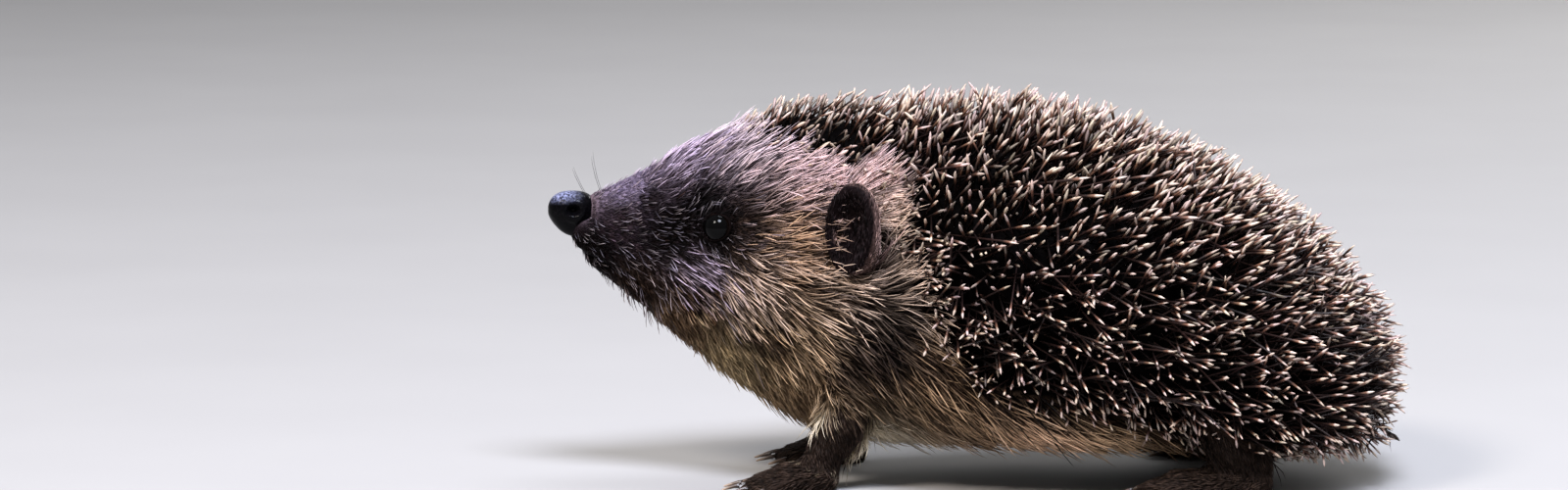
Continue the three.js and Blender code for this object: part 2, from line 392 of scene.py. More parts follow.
PLACES = (
    Place("muzzle tip", Bed.MUZZLE, (3, -100, 72), 5, Tone.PLUM, Tone.ROSE_GREY, 1.7, 14, 0.3),
    Place("muzzle bridge", Bed.MUZZLE, (2, -90, 75.5), 8, Tone.LILAC_GREY, Tone.LILAC, 2.6, 16, 0.5),
    Place("muzzle side", Bed.MUZZLE, (8.5, -91, 66.5), 7, Tone.SOOT, Tone.DUSK, 2.3, -6, 0.5),
    Place("upper muzzle", Bed.MUZZLE, (8, -84, 71.5), 5, Tone.SOOT, Tone.SLATE, 2.6, 4, 0.6),
    # The lip's near-black is partly the dark mask and partly painted shade under the nose.
    Place("lip", Bed.MUZZLE, (6, -97, 60), 7, Tone.INK, Tone.BLACK_BROWN, 2.0, -26, 0.4),
    Place("mask", Bed.MUZZLE, (13, -78, 65), 8.5, Tone.INK, Tone.DARK_BROWN, 2.8, 0, 0.9),
    Place("brow", Bed.MUZZLE, (14, -71, 71.5), 7, Tone.INK, Tone.SOOT, 3.4, 12, 1.1),
    Place("upper brow", Bed.FACE, (14, -64, 79.5), 4.5, Tone.PLUM, Tone.PALE_ROSE, 6.5, 24, 2.0),
    Place("eye rim", Bed.MUZZLE, (18, -66, 66.3), 7.5, Tone.INK, Tone.BLACK_BROWN, 1.7, 0, 0.7),
    Place("eye corner", Bed.FACE, (21.5, -57.5, 62.5), 3, Tone.DARK_BROWN, Tone.ROSE_GREY, 5, 0, 1.4),
    Place("behind the eye", Bed.FACE, (22, -57, 68.5), 4, Tone.UMBER, Tone.TAUPE, 6, 6, 1.8),
    Place("low forehead", Bed.FACE, (5, -77, 80.5), 8.5, Tone.PLUM, Tone.LILAC, 5.5, 27, 1.6),
    Place("forehead", Bed.FACE, (8, -64, 87), 9, Tone.PLUM, Tone.PALE_ROSE, 8.5, 35, 3.2),
    Place("crown", Bed.CROWN, (9, -52, 94), 7, Tone.SOOT, Tone.LILAC, 12, 43, 5),
    Place("crown side", Bed.CROWN, (22, -38, 87), 8, Tone.UMBER, Tone.ASH_ROSE, 10.5, 33, 5.5),
    Place("temple", Bed.FACE, (24, -52, 76), 8, Tone.DARK_BROWN, Tone.ASH_ROSE, 8.5, 18, 3.0),
    Place("ear top", Bed.CROWN, (26, -42, 80), 5, Tone.UMBER, Tone.ASH_ROSE, 8.5, 18, 4.5),
    Place("cheek top", Bed.FACE, (27, -52, 64), 7, Tone.BROWN, Tone.SAND, 8.5, -3, 3.0),
    Place("ear front", Bed.FACE, (30, -45, 66), 6, Tone.DARK_BROWN, Tone.TAUPE, 12.5, 6, 4.6),
    Place("under eye", Bed.FACE, (16.5, -73, 57), 5.5, Tone.DARK_BROWN, Tone.LILAC, 7, -20, 1.6),
    Place("mouth corner", Bed.FACE, (15, -73, 48), 4.5, Tone.SOOT, Tone.EARTH, 4.5, -30, 1.8),
    Place("cheek", Bed.FACE, (24, -60, 53), 5.5, Tone.BROWN, Tone.CREAM, 9, -27, 3.2),
    Place("low cheek", Bed.FACE, (27, -52, 43), 8, Tone.DARK_BROWN, Tone.FAWN, 11, -30, 4.0),
    Place("cheek fold", Bed.FACE, (24, -59, 42), 6.5, Tone.SOOT, Tone.DARK_BROWN, 8, -32, 3.4),
    Place("neck fold", Bed.NECK, (33, -38, 35), 7, Tone.SOOT, Tone.DARK_BROWN, 12, -22, 5.0),
    Place("cheek edge", Bed.NECK, (33, -38, 52), 5.5, Tone.BROWN, Tone.CREAM, 11, 12, 4.6),
    Place("jaw", Bed.MUZZLE, (7, -88, 51), 6, Tone.UMBER, Tone.TAUPE, 3.0, -40, 1.5),
    Place("chin", Bed.THROAT, (8, -78, 40.5), 7, Tone.BROWN, Tone.DRAB, 4.6, -46, 2.4),
    Place("throat", Bed.THROAT, (12, -67, 32), 8, Tone.OLIVE, Tone.STRAW, 6.4, -50, 3.6),
    Place("chest", Bed.THROAT, (20, -50, 25), 10, Tone.EARTH, Tone.FAWN, 10, -40, 5.0),
    Place("chest side", Bed.THROAT, (31, -36, 25), 6, Tone.DARK_BROWN, Tone.DRAB, 11, -38, 5.0),
    # The chest tuft's straw and ivory are partly its own pale hair and partly painted light that lifts it
    # out of the shade under the body.
    Place("chest tuft", Bed.THROAT, (22, -36, 14), 8, Tone.STRAW, Tone.IVORY, 11, -52, 5.0),
    Place("behind ear", Bed.NECK, (38, -21, 56), 8, Tone.UMBER, Tone.CREAM, 9.5, 20, 6.0),
    Place("neck side", Bed.NECK, (38, -30, 42), 9, Tone.INK, Tone.BLACK_BROWN, 12, -26, 5.5),
    Place("shoulder", Bed.NECK, (42, -16, 33), 11, Tone.DARK_BROWN, Tone.DRAB, 13, -35, 6.0),
    Place("flank", Bed.FLANK, (46, 6, 27), 12, Tone.UMBER, Tone.SAND, 16, -42, 6.0),
    Place("low flank", Bed.FLANK, (44, 18, 14), 12, Tone.DARK_BROWN, Tone.FAWN, 16, -44, 5.5),
    Place("haunch", Bed.FLANK, (46, 58, 12), 14, Tone.DARK_BROWN, Tone.DRAB, 14, -42, 5.5),
    Place("rump", Bed.FLANK, (20, 99, 14), 12, Tone.UMBER, Tone.TAUPE, 12, -52, 5.0),
    Place("belly", Bed.BELLY, (6, 20, 8), 20, Tone.BROWN, Tone.DRAB, 11, -12, 5.0),
    Place("groin", Bed.BELLY, (6, 66, 6), 20, Tone.BROWN, Tone.TAUPE, 10, -12, 5.0),
)


class Coat:
    """Blends the named places into colours, lengths, depths and directions anywhere.

    Attributes:
        sharpness: How quickly a place's say falls off with distance.
        sideways: How much a step sideways counts, next to one back or up.
        core: The distance, in reaches, inside which a place's say levels off.
    """

    sharpness = 5.0
    sideways = 0.55
    core = 0.15

    def __init__(self, places: Sequence[Place]) -> None:
        """Takes the places apart into arrays.

        Args:
            places: The named places.
        """
        self.places = places
        self.at = np.array([place.at for place in places]) * MM
        self.reach = np.array([place.reach for place in places]) * MM
        lie = np.radians([place.lie for place in places])
        sizes = np.array([[place.length, place.depth] for place in places]) * MM
        deep = np.array([rgb(place.deep.value) for place in places])
        light = np.array([rgb(place.light.value) for place in places])
        self.traits = np.hstack([sizes, np.stack([np.cos(lie), np.sin(lie)], 1), deep, light])

    def shares_at(self, points: Array) -> Array:
        """Finds how much each place has to say at points.

        Args:
            points: Rows of positions in metres.

        Returns:
            A column for each place; each row adds up to 1.
        """
        mirrored = points.copy()
        mirrored[:, 0] = np.abs(mirrored[:, 0])
        away = (mirrored[:, None, :] - self.at[None]) * [self.sideways, 1, 1]
        far = np.linalg.norm(away, axis=2) / self.reach
        weight = 1 / (far + self.core) ** self.sharpness
        return weight / weight.sum(1, keepdims=True)

    def bed_share(self, bed: Bed, shares: Array) -> Array:
        """Adds up the shares of the places in a bed."""
        return shares[:, [place.bed is bed for place in self.places]].sum(1)

    def traits_at(self, points: Array) -> dict[str, Array]:
        """Blends the places' traits at points.

        Args:
            points: Rows of positions in metres.

        Returns:
            Length, depth, lie as a unit pair (back, up), and the deep and light colours.
        """
        found = self.shares_at(points) @ self.traits
        return {
            "length": found[:, 0],
            "depth": found[:, 1],
            "lie": unit(found[:, 2:4]),
            "deep": found[:, 4:7],
            "light": found[:, 7:10],
        }


COAT = Coat(PLACES)


# ---------------------------------------------------------------- shader nodes
class Shader:
    """Adds and links nodes in a material's or a group's tree."""

    def __init__(self, tree: bpy.types.NodeTree) -> None:
        """Takes hold of a node tree."""
        self.tree = tree

    def feed(self, value: bpy.types.NodeSocket, socket: bpy.types.NodeSocket) -> None:
        """Links a value to an input."""
        self.tree.links.new(value, socket)

    def node(self, kind: str, inputs: dict | None = None, **settings: object) -> bpy.types.Node:
        """Adds a node.

        Args:
            kind: The node type's name after "ShaderNode".
            inputs: Values or sockets by input name or index.
            **settings: The node's own settings.

        Returns:
            The new node.
        """
        made = self.tree.nodes.new("ShaderNode" + kind)
        for key, value in settings.items():
            setattr(made, key, value)
        for key, value in (inputs or {}).items():
            socket = made.inputs[key]
            if isinstance(value, bpy.types.NodeSocket):
                self.feed(value, socket)
            else:
                socket.default_value = value
        return made

    def maths(self, operation: str, *values: object) -> bpy.types.NodeSocket:
        """Adds a Math node and gives its result."""
        return self.node("Math", dict(enumerate(values)), operation=operation).outputs[0]

    def mix(self, share: object, a: object, b: object, kind: str = "MIX") -> bpy.types.NodeSocket:
        """Mixes two colours.

        Args:
            share: How much of the second colour there is.
            a: The first colour.
            b: The second colour.
            kind: How they are mixed.

        Returns:
            The mixed colour.
        """
        a, b = ((*c, 1) if isinstance(c, tuple) and len(c) == 3 else c for c in (a, b))
        made = self.node("Mix", {0: share, 6: a, 7: b}, data_type="RGBA", blend_type=kind)
        return made.outputs[2]

    def ramp(self, value: object, *stops: tuple[float, object]) -> bpy.types.NodeSocket:
        """Adds a colour ramp.

        Args:
            value: Where on the ramp to look.
            *stops: Rows of a place from 0 to 1 and its colour or grey.

        Returns:
            The ramp's colour.
        """
        made = self.node("ValToRGB", {0: value})
        elements = made.color_ramp.elements
        elements[0].position, elements[1].position = stops[0][0], stops[-1][0]
        for place, _ in stops[1:-1]:
            elements.new(place)
        for element, (_, colour) in zip(elements, stops):
            grey = (colour,) * 3 if isinstance(colour, (int, float)) else colour
            element.color = (*grey, 1)
        return made.outputs[0]

    def attribute(self, name: str, output: str = "Fac") -> bpy.types.NodeSocket:
        """Reads a named attribute of the mesh."""
        return self.node("Attribute", attribute_name=name).outputs[output]

    def place(self) -> bpy.types.NodeSocket:
        """Gives the Object coordinates."""
        return self.node("TexCoord").outputs["Object"]


def new_group(
    name: str, inputs: dict[str, object], outputs: dict[str, str]
) -> tuple[Shader, bpy.types.NodeOutputs, bpy.types.NodeInputs]:
    """Starts a shader node group.

    Args:
        name: The group's name.
        inputs: Default values by input name; a triple is a colour.
        outputs: "Color" or "Float" by output name.

    Returns:
        Its shader helper, its inputs' sockets and its output node's sockets.
    """
    group = bpy.data.node_groups.new(name, "ShaderNodeTree")
    for key, value in inputs.items():
        kind = "NodeSocketColor" if isinstance(value, tuple) else "NodeSocketFloat"
        socket = group.interface.new_socket(key, in_out="INPUT", socket_type=kind)
        socket.default_value = (*value, 1) if isinstance(value, tuple) else value
    for key, kind in outputs.items():
        group.interface.new_socket(key, in_out="OUTPUT", socket_type="NodeSocket" + kind)
    start = group.nodes.new("NodeGroupInput")
    end = group.nodes.new("NodeGroupOutput")
    return Shader(group), start.outputs, end.inputs


def coat_group() -> bpy.types.NodeTree:
    """Makes the colour of hair: a deep root, a light end, and a fine uneven grain.

    Returns:
        The group, whose outputs are a colour, a roughness and a height.
    """
    inputs = {"Deep": (0.1, 0.1, 0.1), "Light": (0.5, 0.5, 0.5), "Along": 0.5, "Grain": 900.0, "Uneven": 0.3}
    outputs = {"Color": "Color", "Rough": "Float", "Height": "Float"}
    made, given, out = new_group("coat colour", inputs, outputs)
    noise = made.node("TexNoise", {"Vector": made.place(), "Scale": given["Grain"], "Detail": 3.0})
    share = made.ramp(given["Along"], (0.0, 0.0), (0.45, 0.3), (0.82, 1.0))
    colour = made.mix(share, given["Deep"], given["Light"])
    swing = made.maths("MULTIPLY", made.maths("SUBTRACT", noise.outputs[0], 0.5), given["Uneven"])
    tone = made.maths("ADD", 1.0, made.maths("MULTIPLY", swing, 2.0))
    shade = made.node("CombineColor", {0: tone, 1: tone, 2: tone}).outputs[0]
    made.feed(made.mix(1.0, colour, shade, "MULTIPLY"), out["Color"])
    made.feed(made.maths("MULTIPLY_ADD", noise.outputs[0], 0.3, 0.42), out["Rough"])
    made.feed(noise.outputs[0], out["Height"])
    return made.tree


def pebble_group() -> bpy.types.NodeTree:
    """Makes the relief of bare skin: close round pebbles broken by fine noise.

    Returns:
        The group, whose outputs are a height and a mask of the creases.
    """
    inputs = {"Size": 1500.0, "Fine": 4000.0}
    made, given, out = new_group("pebbled skin", inputs, {"Height": "Float", "Creases": "Float"})
    place = made.place()
    cells = made.node("TexVoronoi", {"Vector": place, "Scale": given["Size"]}, feature="SMOOTH_F1")
    fine = made.node("TexNoise", {"Vector": place, "Scale": given["Fine"], "Detail": 4.0})
    dome = made.maths("SUBTRACT", 1.0, cells.outputs["Distance"])
    made.feed(made.maths("MULTIPLY_ADD", fine.outputs[0], 0.25, dome), out["Height"])
    creases = made.ramp(cells.outputs["Distance"], (0.35, 0.0), (0.75, 1.0))
    made.feed(creases, out["Creases"])
    return made.tree


class Groups:
    """The shared node groups, each built once."""

    def __init__(self) -> None:
        """Builds the groups."""
        self.coat = coat_group()
        self.pebble = pebble_group()


@dataclass(frozen=True)
class Finish:
    """A material on the Principled shader."""

    name: str
    roughness: float = 0.5
    specular: float = 0.4

    def start(self) -> tuple[bpy.types.Material, Shader, bpy.types.Node]:
        """Makes the material with its uniform values.

        Returns:
            The material, its shader helper and the Principled node.
        """
        material = bpy.data.materials.new(self.name)
        material.use_nodes = True
        material.node_tree.nodes.clear()
        made = Shader(material.node_tree)
        values = {"Roughness": self.roughness, "Specular IOR Level": self.specular}
        surface = made.node("BsdfPrincipled", values)
        made.node("OutputMaterial", {"Surface": surface.outputs[0]})
        return material, made, surface

    def bumped(
        self,
        made: Shader,
        surface: bpy.types.Node,
        height: bpy.types.NodeSocket,
        strength: float,
        reach: float,
    ) -> None:
        """Feeds a height through a Bump node into the surface's normal.

        Args:
            made: The material's shader helper.
            surface: The Principled node.
            height: The height's socket.
            strength: The bump's strength.
            reach: Its distance in metres.
        """
        values = {"Strength": strength, "Distance": reach, "Height": height}
        bump = made.node("Bump", values)
        made.feed(bump.outputs[0], surface.inputs["Normal"])


@dataclass(frozen=True)
class HairFinish(Finish):
    """Hair in its own two colours, which each strand carries."""

    grain: float = 900.0
    uneven: float = 0.3

    def build(self, groups: Groups) -> bpy.types.Material:
        """Makes the material.

        Args:
            groups: The shared node groups.

        Returns:
            The material.
        """
        material, made, surface = self.start()
        group = made.node("Group", node_tree=groups.coat)
        for key, value in (
            ("Deep", made.attribute("deep", "Color")),
            ("Light", made.attribute("light", "Color")),
            ("Along", made.attribute("along")),
        ):
            made.feed(value, group.inputs[key])
        group.inputs["Grain"].default_value = self.grain
        group.inputs["Uneven"].default_value = self.uneven
        made.feed(group.outputs["Color"], surface.inputs["Base Color"])
        made.feed(group.outputs["Rough"], surface.inputs["Roughness"])
        self.bumped(made, surface, group.outputs["Height"], 0.25, 0.0001)
        return material


@dataclass(frozen=True)
class SpineFinish(Finish):
    """Banded horn: a dark shaft, a pale spindle and a browner point; the dark foot and lower shaft are
    partly the spine's own band and partly painted shade, though real spines are pale at the foot.
    """

    # Partly painted shade: the foot and the lower shaft are kept dark, though real spines are pale there.
    root: str = "4a332a"
    shaft: str = "221310"
    tan: str = "7a5745"
    pale: str = "dac6b6"
    point: str = "a08778"

    def build(self, groups: Groups) -> bpy.types.Material:
        """Makes the material.

        Args:
            groups: The shared node groups; not used.

        Returns:
            The material.
        """
        material, made, surface = self.start()
        along = made.attribute("along")
        bands = made.ramp(
            along,
            (0.0, rgb(self.root)),
            (0.1, rgb(self.shaft)),
            (0.7, rgb(self.shaft)),
            (0.82, rgb(self.tan)),
            (0.87, rgb(self.pale)),
            (0.965, rgb(self.pale)),
            (1.0, rgb(self.point)),
        )
        tinted = made.mix(1.0, bands, made.attribute("light", "Color"), "MULTIPLY")
        noise = made.node("TexNoise", {"Vector": made.place(), "Scale": 700.0, "Detail": 4.0})
        wear_and_crease_shade = made.mix(made.maths("MULTIPLY", noise.outputs[0], 0.22), tinted, (0.02, 0.013, 0.01))
        made.feed(wear_and_crease_shade, surface.inputs["Base Color"])
        rough = made.maths("MULTIPLY_ADD", noise.outputs[0], 0.3, self.roughness - 0.15)
        made.feed(rough, surface.inputs["Roughness"])
        self.bumped(made, surface, noise.outputs[0], 0.3, 0.0001)
        return material


@dataclass(frozen=True)
class SkinFinish(Finish):
    """The skin under the coat: the coat's own deep colours, pored and creased, with painted shade in the
    creases.
    """

    def build(self, groups: Groups) -> bpy.types.Material:
        """Makes the material.

        Args:
            groups: The shared node groups.

        Returns:
            The material.
        """
        material, made, surface = self.start()
        group = made.node("Group", {"Along": 0.22, "Grain": 1300.0, "Uneven": 0.5}, node_tree=groups.coat)
        made.feed(made.attribute("deep", "Color"), group.inputs["Deep"])
        made.feed(made.attribute("light", "Color"), group.inputs["Light"])
        pebble = made.node("Group", {"Size": 1900.0, "Fine": 5000.0}, node_tree=groups.pebble)
        # Painted shade: the creases between the pebbles are darkened.
        creases = made.maths("MULTIPLY", pebble.outputs["Creases"], 0.6)
        colour = made.mix(creases, group.outputs["Color"], (0.2, 0.17, 0.16), "MULTIPLY")
        made.feed(colour, surface.inputs["Base Color"])
        made.feed(group.outputs["Rough"], surface.inputs["Roughness"])
        self.bumped(made, surface, pebble.outputs["Height"], 0.35, 0.0002)
        return material


@dataclass(frozen=True)
class EyeFinish(Finish):
    """A wet, almost black ball with a trace of brown iris."""

    pupil: str = "030303"
    iris: str = "1c110c"
    rim: str = "060404"
    mottle: str = "050404"

    def build(self, groups: Groups) -> bpy.types.Material:
        """Makes the material.

        Args:
            groups: The shared node groups; not used.

        Returns:
            The material.
        """
        material, made, surface = self.start()
        noise = made.node("TexNoise", {"Vector": made.place(), "Scale": 900.0, "Detail": 3.0})
        pupil, iris, rim = rgb(self.pupil), rgb(self.iris), rgb(self.rim)
        ring = made.ramp(made.attribute("iris"), (0.42, pupil), (0.55, iris), (0.9, rim))
        colour = made.mix(made.maths("MULTIPLY", noise.outputs[0], 0.5), ring, rgb(self.mottle))
        made.feed(colour, surface.inputs["Base Color"])
        return material


@dataclass(frozen=True)
class NoseFinish(Finish):
    """Wet black leather, pebbled, with painted shade in its creases and a painted bluish highlight on top.
    """

    dark: str = "030304"
    # The bluish grey of the painted highlight on the pad's upper front.
    painted_highlight: str = "8a8eb0"

    def build(self, groups: Groups) -> bpy.types.Material:
        """Makes the material.

        Args:
            groups: The shared node groups.

        Returns:
            The material.
        """
        material, made, surface = self.start()
        pebble = made.node("Group", {"Size": 1700.0, "Fine": 5200.0}, node_tree=groups.pebble)
        # Painted highlight: the pad's upward-facing front is tinted bluish grey and broken into specks.
        up = made.attribute("top")
        specks = made.node("TexNoise", {"Vector": made.place(), "Scale": 1800.0, "Detail": 4.0})
        lit = made.maths("MULTIPLY", up, made.ramp(specks.outputs[0], (0.38, 0.1), (0.62, 1.0)))
        colour = made.mix(lit, rgb(self.dark), rgb(self.painted_highlight))
        # Painted shade: the creases between the pebbles are darkened.
        creases = made.maths("MULTIPLY", pebble.outputs["Creases"], 0.5)
        wear_and_crease_shade = made.mix(creases, colour, (0.004, 0.003, 0.004))
        made.feed(wear_and_crease_shade, surface.inputs["Base Color"])
        self.bumped(made, surface, pebble.outputs["Height"], 0.45, 0.00015)
        return material


@dataclass(frozen=True)
class ClawFinish(Finish):
    """Horn that grows paler to its tip, with streaks along it."""

    root: str = "1f1613"
    middle: str = "4a3a30"
    tip: str = "a58e78"

    def build(self, groups: Groups) -> bpy.types.Material:
        """Makes the material.

        Args:
            groups: The shared node groups; not used.

        Returns:
            The material.
        """
        material, made, surface = self.start()
        streaks = made.node("Mapping", {"Vector": made.place(), "Scale": (2200.0, 300.0, 2200.0)})
        noise = made.node("TexNoise", {"Vector": streaks.outputs[0], "Scale": 1.0, "Detail": 4.0})
        swing = made.maths("MULTIPLY_ADD", noise.outputs[0], 0.4, -0.2)
        share = made.maths("ADD", made.attribute("along"), swing)
        colour = made.ramp(share, (0.0, rgb(self.root)), (0.55, rgb(self.middle)), (1.0, rgb(self.tip)))
        made.feed(colour, surface.inputs["Base Color"])
        self.bumped(made, surface, noise.outputs[0], 0.3, 0.00015)
        return material


@dataclass(frozen=True)
class PlainFinish(Finish):
    """One quiet colour with a faint mottle, for the floor and the whiskers."""

    colour: str = "949290"
    mottle: float = 12.0

    def build(self, groups: Groups) -> bpy.types.Material:
        """Makes the material.

        Args:
            groups: The shared node groups; not used.

        Returns:
            The material.
        """
        material, made, surface = self.start()
        noise = made.node("TexNoise", {"Vector": made.place(), "Scale": self.mottle, "Detail": 2.0})
        base = rgb(self.colour)
        darker = tuple(0.93 * value for value in base)
        made.feed(made.mix(noise.outputs[0], base, darker), surface.inputs["Base Color"])
        return material


# ---------------------------------------------------------------- bare parts
@dataclass
class Eye:
    """An eyeball and the seat that the lids are shaped round.

    Attributes:
        side: 1 on the animal's left, -1 on its right.
        opening: Half the width of the gap between the lids.
        lid: How thick a lid is over the ball.
        blend_to: How far from the middle the lids run out into the face.
        raised: How far back and up the ball sits from its solid.
        outlook: Which way the left eye looks.
        slant: Which way its corner points.
        almond: The opening's width, and its height above and below, in shares of a circle's.
        crease_at: How far from the middle the crease round the lids runs.
        crease: The crease's depth and width.
    """

    side: int
    opening: float = 3.3 * MM
    lid: float = 0.32 * MM
    blend_to: float = 7.2 * MM
    raised: tuple[float, float] = (0.5 * MM, 1.4 * MM)
    outlook: tuple[float, float, float] = (0.93, -0.34, 0.14)
    slant: tuple[float, float, float] = (0.0, 1.0, 0.26)
    almond: tuple[float, float, float] = (1.10, 0.90, 0.97)
    crease_at: float = 4.9 * MM
    crease: tuple[float, float] = (0.22 * MM, 0.55 * MM)

    def __post_init__(self) -> None:
        """Reads the ball's place and size from its solid."""
        low, high = box_of(self.node)
        self.radius = float((high - low)[1:].mean() / 2) + 0.2 * MM
        self.centre = (low + high) / 2 + [0, *self.raised]
        self.outward = unit(np.array(self.outlook) * [self.side, 1, 1])
        self.back = flattened(np.array([self.slant]), self.outward[None])[0]
        self.up = np.cross(self.outward, self.back) * self.side
        self.up *= np.sign(self.up[2])

    @property
    def node(self) -> str:
        """The solid that the ball replaces."""
        return "eye_left" if self.side > 0 else "eye_right"

    def split(self, points: Array) -> tuple[Array, Array, Array]:
        """Splits points into height along the outlook, distance from it, and a turn round it.

        Args:
            points: Rows of positions.

        Returns:
            The heights, the distances stretched to the almond of the lids, and the plain distances.
        """
        away = points - self.centre
        height = away @ self.outward
        along, over = away @ self.back, away @ self.up
        wide, upper, lower = self.almond
        tall = np.where(over > 0, upper, lower)
        return height, np.hypot(along / wide, over / tall), np.hypot(along, over)

    def shape_lids(self, points: Array) -> Array:
        """Moves the skin round the eye into two thin lids over the ball.

        Args:
            points: The skin's points.

        Returns:
            The moved points.
        """
        height, rho, _ = self.split(points)
        near = (height > -1.5 * MM) & (rho < self.blend_to) & (np.sign(points[:, 0]) == self.side)
        ball = np.sqrt(np.maximum(self.radius**2 - rho**2, (0.8 * MM) ** 2))
        over = np.sqrt(np.maximum((self.radius + self.lid) ** 2 - rho**2, (1.2 * MM) ** 2))
        inside = ball - 1.4 * MM
        edge = eased(rho, self.opening - 0.35 * MM, self.opening + 0.15 * MM)
        wanted = blend(inside, over, edge)
        deep, width = self.crease
        outer = height - deep * ridge(rho - self.crease_at, width)
        wanted = blend(wanted, outer, eased(rho, self.opening + 0.8 * MM, self.blend_to - 1.0 * MM))
        return points + ((wanted - height) * near)[:, None] * self.outward

    def build(self, groups: Groups, finish: EyeFinish) -> bpy.types.Object:
        """Builds the ball.

        Args:
            groups: The shared node groups.
            finish: The eyes' finish.

        Returns:
            The piece.
        """
        bm = bmesh.new()
        bmesh.ops.create_uvsphere(bm, u_segments=48, v_segments=32, radius=self.radius)
        bmesh.ops.translate(bm, verts=bm.verts, vec=Vector(self.centre))
        mesh = mesh_of(f"eyeball_{self.node[4:]}", bm)
        surface = Surface(mesh)
        rim = 1 - (surface.points - self.centre) @ self.outward / self.radius
        value_attribute(mesh, "iris", np.clip(rim, 0, 1))
        piece = placed(mesh.name, mesh, finish.build(groups))
        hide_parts(self.node)
        return piece


@dataclass
class Nose:
    """The wet nose pad with a comma of a nostril on each side and a groove down the front.

    Attributes:
        half_size: Half its width, length and height.
        fullness: How boxy it is; 2 would be a plain ball.
        lobe_drop: How far its lower end sinks.
        lobe_back: How far its lower end runs back.
        nostril: How far behind and above the middle a nostril lies.
        nostril_depth: How deep it is.
        nostril_reach: How wide it is.
        rim: The height, the distance and the width of the ridge round it.
        groove: The depth and width of the groove down the front.
        dimple: The depth and width of the dimple on top.
        bare_to: How far behind the middle the skin is drawn in.
    """

    half_size: tuple[float, float, float] = (4.9 * MM, 6.2 * MM, 4.95 * MM)
    fullness: float = 2.5
    lobe_drop: float = 1.9 * MM
    lobe_back: float = 2.0 * MM
    nostril: tuple[float, float] = (0.5 * MM, 0.5 * MM)
    nostril_depth: float = 2.3 * MM
    nostril_reach: float = 1.5 * MM
    rim: tuple[float, float, float] = (0.55 * MM, 2.35 * MM, 0.6 * MM)
    groove: tuple[float, float] = (0.6 * MM, 0.42 * MM)
    dimple: tuple[float, float] = (0.3 * MM, 1.3 * MM)
    bare_to: float = 4.4 * MM

    def __post_init__(self) -> None:
        """Reads the pad's place from its solid."""
        low, high = box_of("nose")
        self.radii = np.array(self.half_size)
        front = low[1] - 0.3 * MM
        self.centre = np.array([0, front + self.radii[1], (low[2] + high[2]) / 2 + 0.15 * MM])

    def reach(self, away: Array) -> Array:
        """Measures how far out points lie, 1 being the pad's plain surface.

        Args:
            away: Rows of positions from the pad's centre, in shares of its half sizes.

        Returns:
            The distances.
        """
        return (np.abs(away) ** self.fullness).sum(1) ** (1 / self.fullness)

    def holds(self, points: Array, slack: float) -> Array:
        """Tells which points lie inside the pad grown by a share."""
        return self.reach((points - self.centre) / self.radii) < 1 + slack

    def bared(self, points: Array) -> Array:
        """Draws the skin in round the back of the pad, so that the pad stands free of it.

        Args:
            points: The skin's points.

        Returns:
            The moved points.
        """
        away = (points - self.centre) / self.radii
        section = (1 - np.minimum(np.abs(away[:, 1]), 0.98) ** self.fullness) ** (1 / self.fullness)
        across = self.reach(away * [1, 0, 1])
        limit = np.minimum(1, 0.86 * section / np.maximum(across, 1e-6))
        edge = self.bare_to - 1.6 * MM * eased(away[:, 2], 0.4, 0.95)
        ahead = 1 - eased(points[:, 1] - self.centre[1], edge, edge + 2.2 * MM)
        above = eased(away[:, 2], -0.95, -0.5) * (1 - eased(across, 1.5, 1.9))
        share = blend(1.0, limit, ahead * above)
        moved = points.copy()
        moved[:, 0] *= share
        moved[:, 2] = self.centre[2] + (points[:, 2] - self.centre[2]) * share
        return moved

    def build(self, groups: Groups, finish: NoseFinish) -> bpy.types.Object:
        """Builds the pad.

        Args:
            groups: The shared node groups.
            finish: The nose's finish.

        Returns:
            The piece.
        """
        bm = bmesh.new()
        bmesh.ops.create_icosphere(bm, subdivisions=6, radius=1)
        mesh = mesh_of("nose_pad", bm)
        surface = Surface(mesh)
        ball = surface.points.copy()
        away = ball / self.reach(ball)[:, None] * self.radii
        out = unit(away / self.radii**2)
        x, y, z = away.T
        back, drop = y - self.nostril[0], z - self.nostril[1]
        comma = np.hypot((back + 0.3 * drop) / 1.15, drop - 0.25 * back)
        side = eased(np.abs(x), 0.3 * self.radii[0], 0.62 * self.radii[0])
        mouth = 1 - eased(comma, 0.35 * self.nostril_reach, 1.25 * self.nostril_reach)
        pit = self.nostril_depth * mouth * side
        behind = 0.55 + 0.45 * unit(np.stack([back, -drop], 1)).sum(1) / math.sqrt(2)
        rim_height, rim_at, rim_width = self.rim
        rim = rim_height * ridge(comma - rim_at, rim_width) * side * behind
        front = eased(-y, 0, 3 * MM) * eased(-z, -3.4 * MM, -0.5 * MM)
        groove = self.groove[0] * ridge(x, self.groove[1]) * front
        dimple = self.dimple[0] * ridge(x, self.dimple[1]) * eased(z, 1 * MM, 4 * MM)
        away += out * (rim - pit - groove - dimple)[:, None]
        low = eased(-z / self.radii[2], 0.15, 1.0)
        away[:, 0] *= 1 - 0.36 * low
        away[:, 1] += self.lobe_back * low
        away[:, 2] -= self.lobe_drop * low
        surface.points = surface.smoothed(away + self.centre, 2, 0.5)
        surface.write()
        # Where the nose's finish paints its bluish highlight: the pad's upward-facing front, fading out in
        # the nostrils.
        top = eased(out[:, 2], 0.3, 0.9) * eased(-out[:, 1], -0.45, 0.35)
        value_attribute(mesh, "top", top * (1 - eased(pit, 0.1 * MM, 0.6 * MM)))
        piece = placed("nose_pad", mesh, finish.build(groups))
        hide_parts("nose")
        return piece


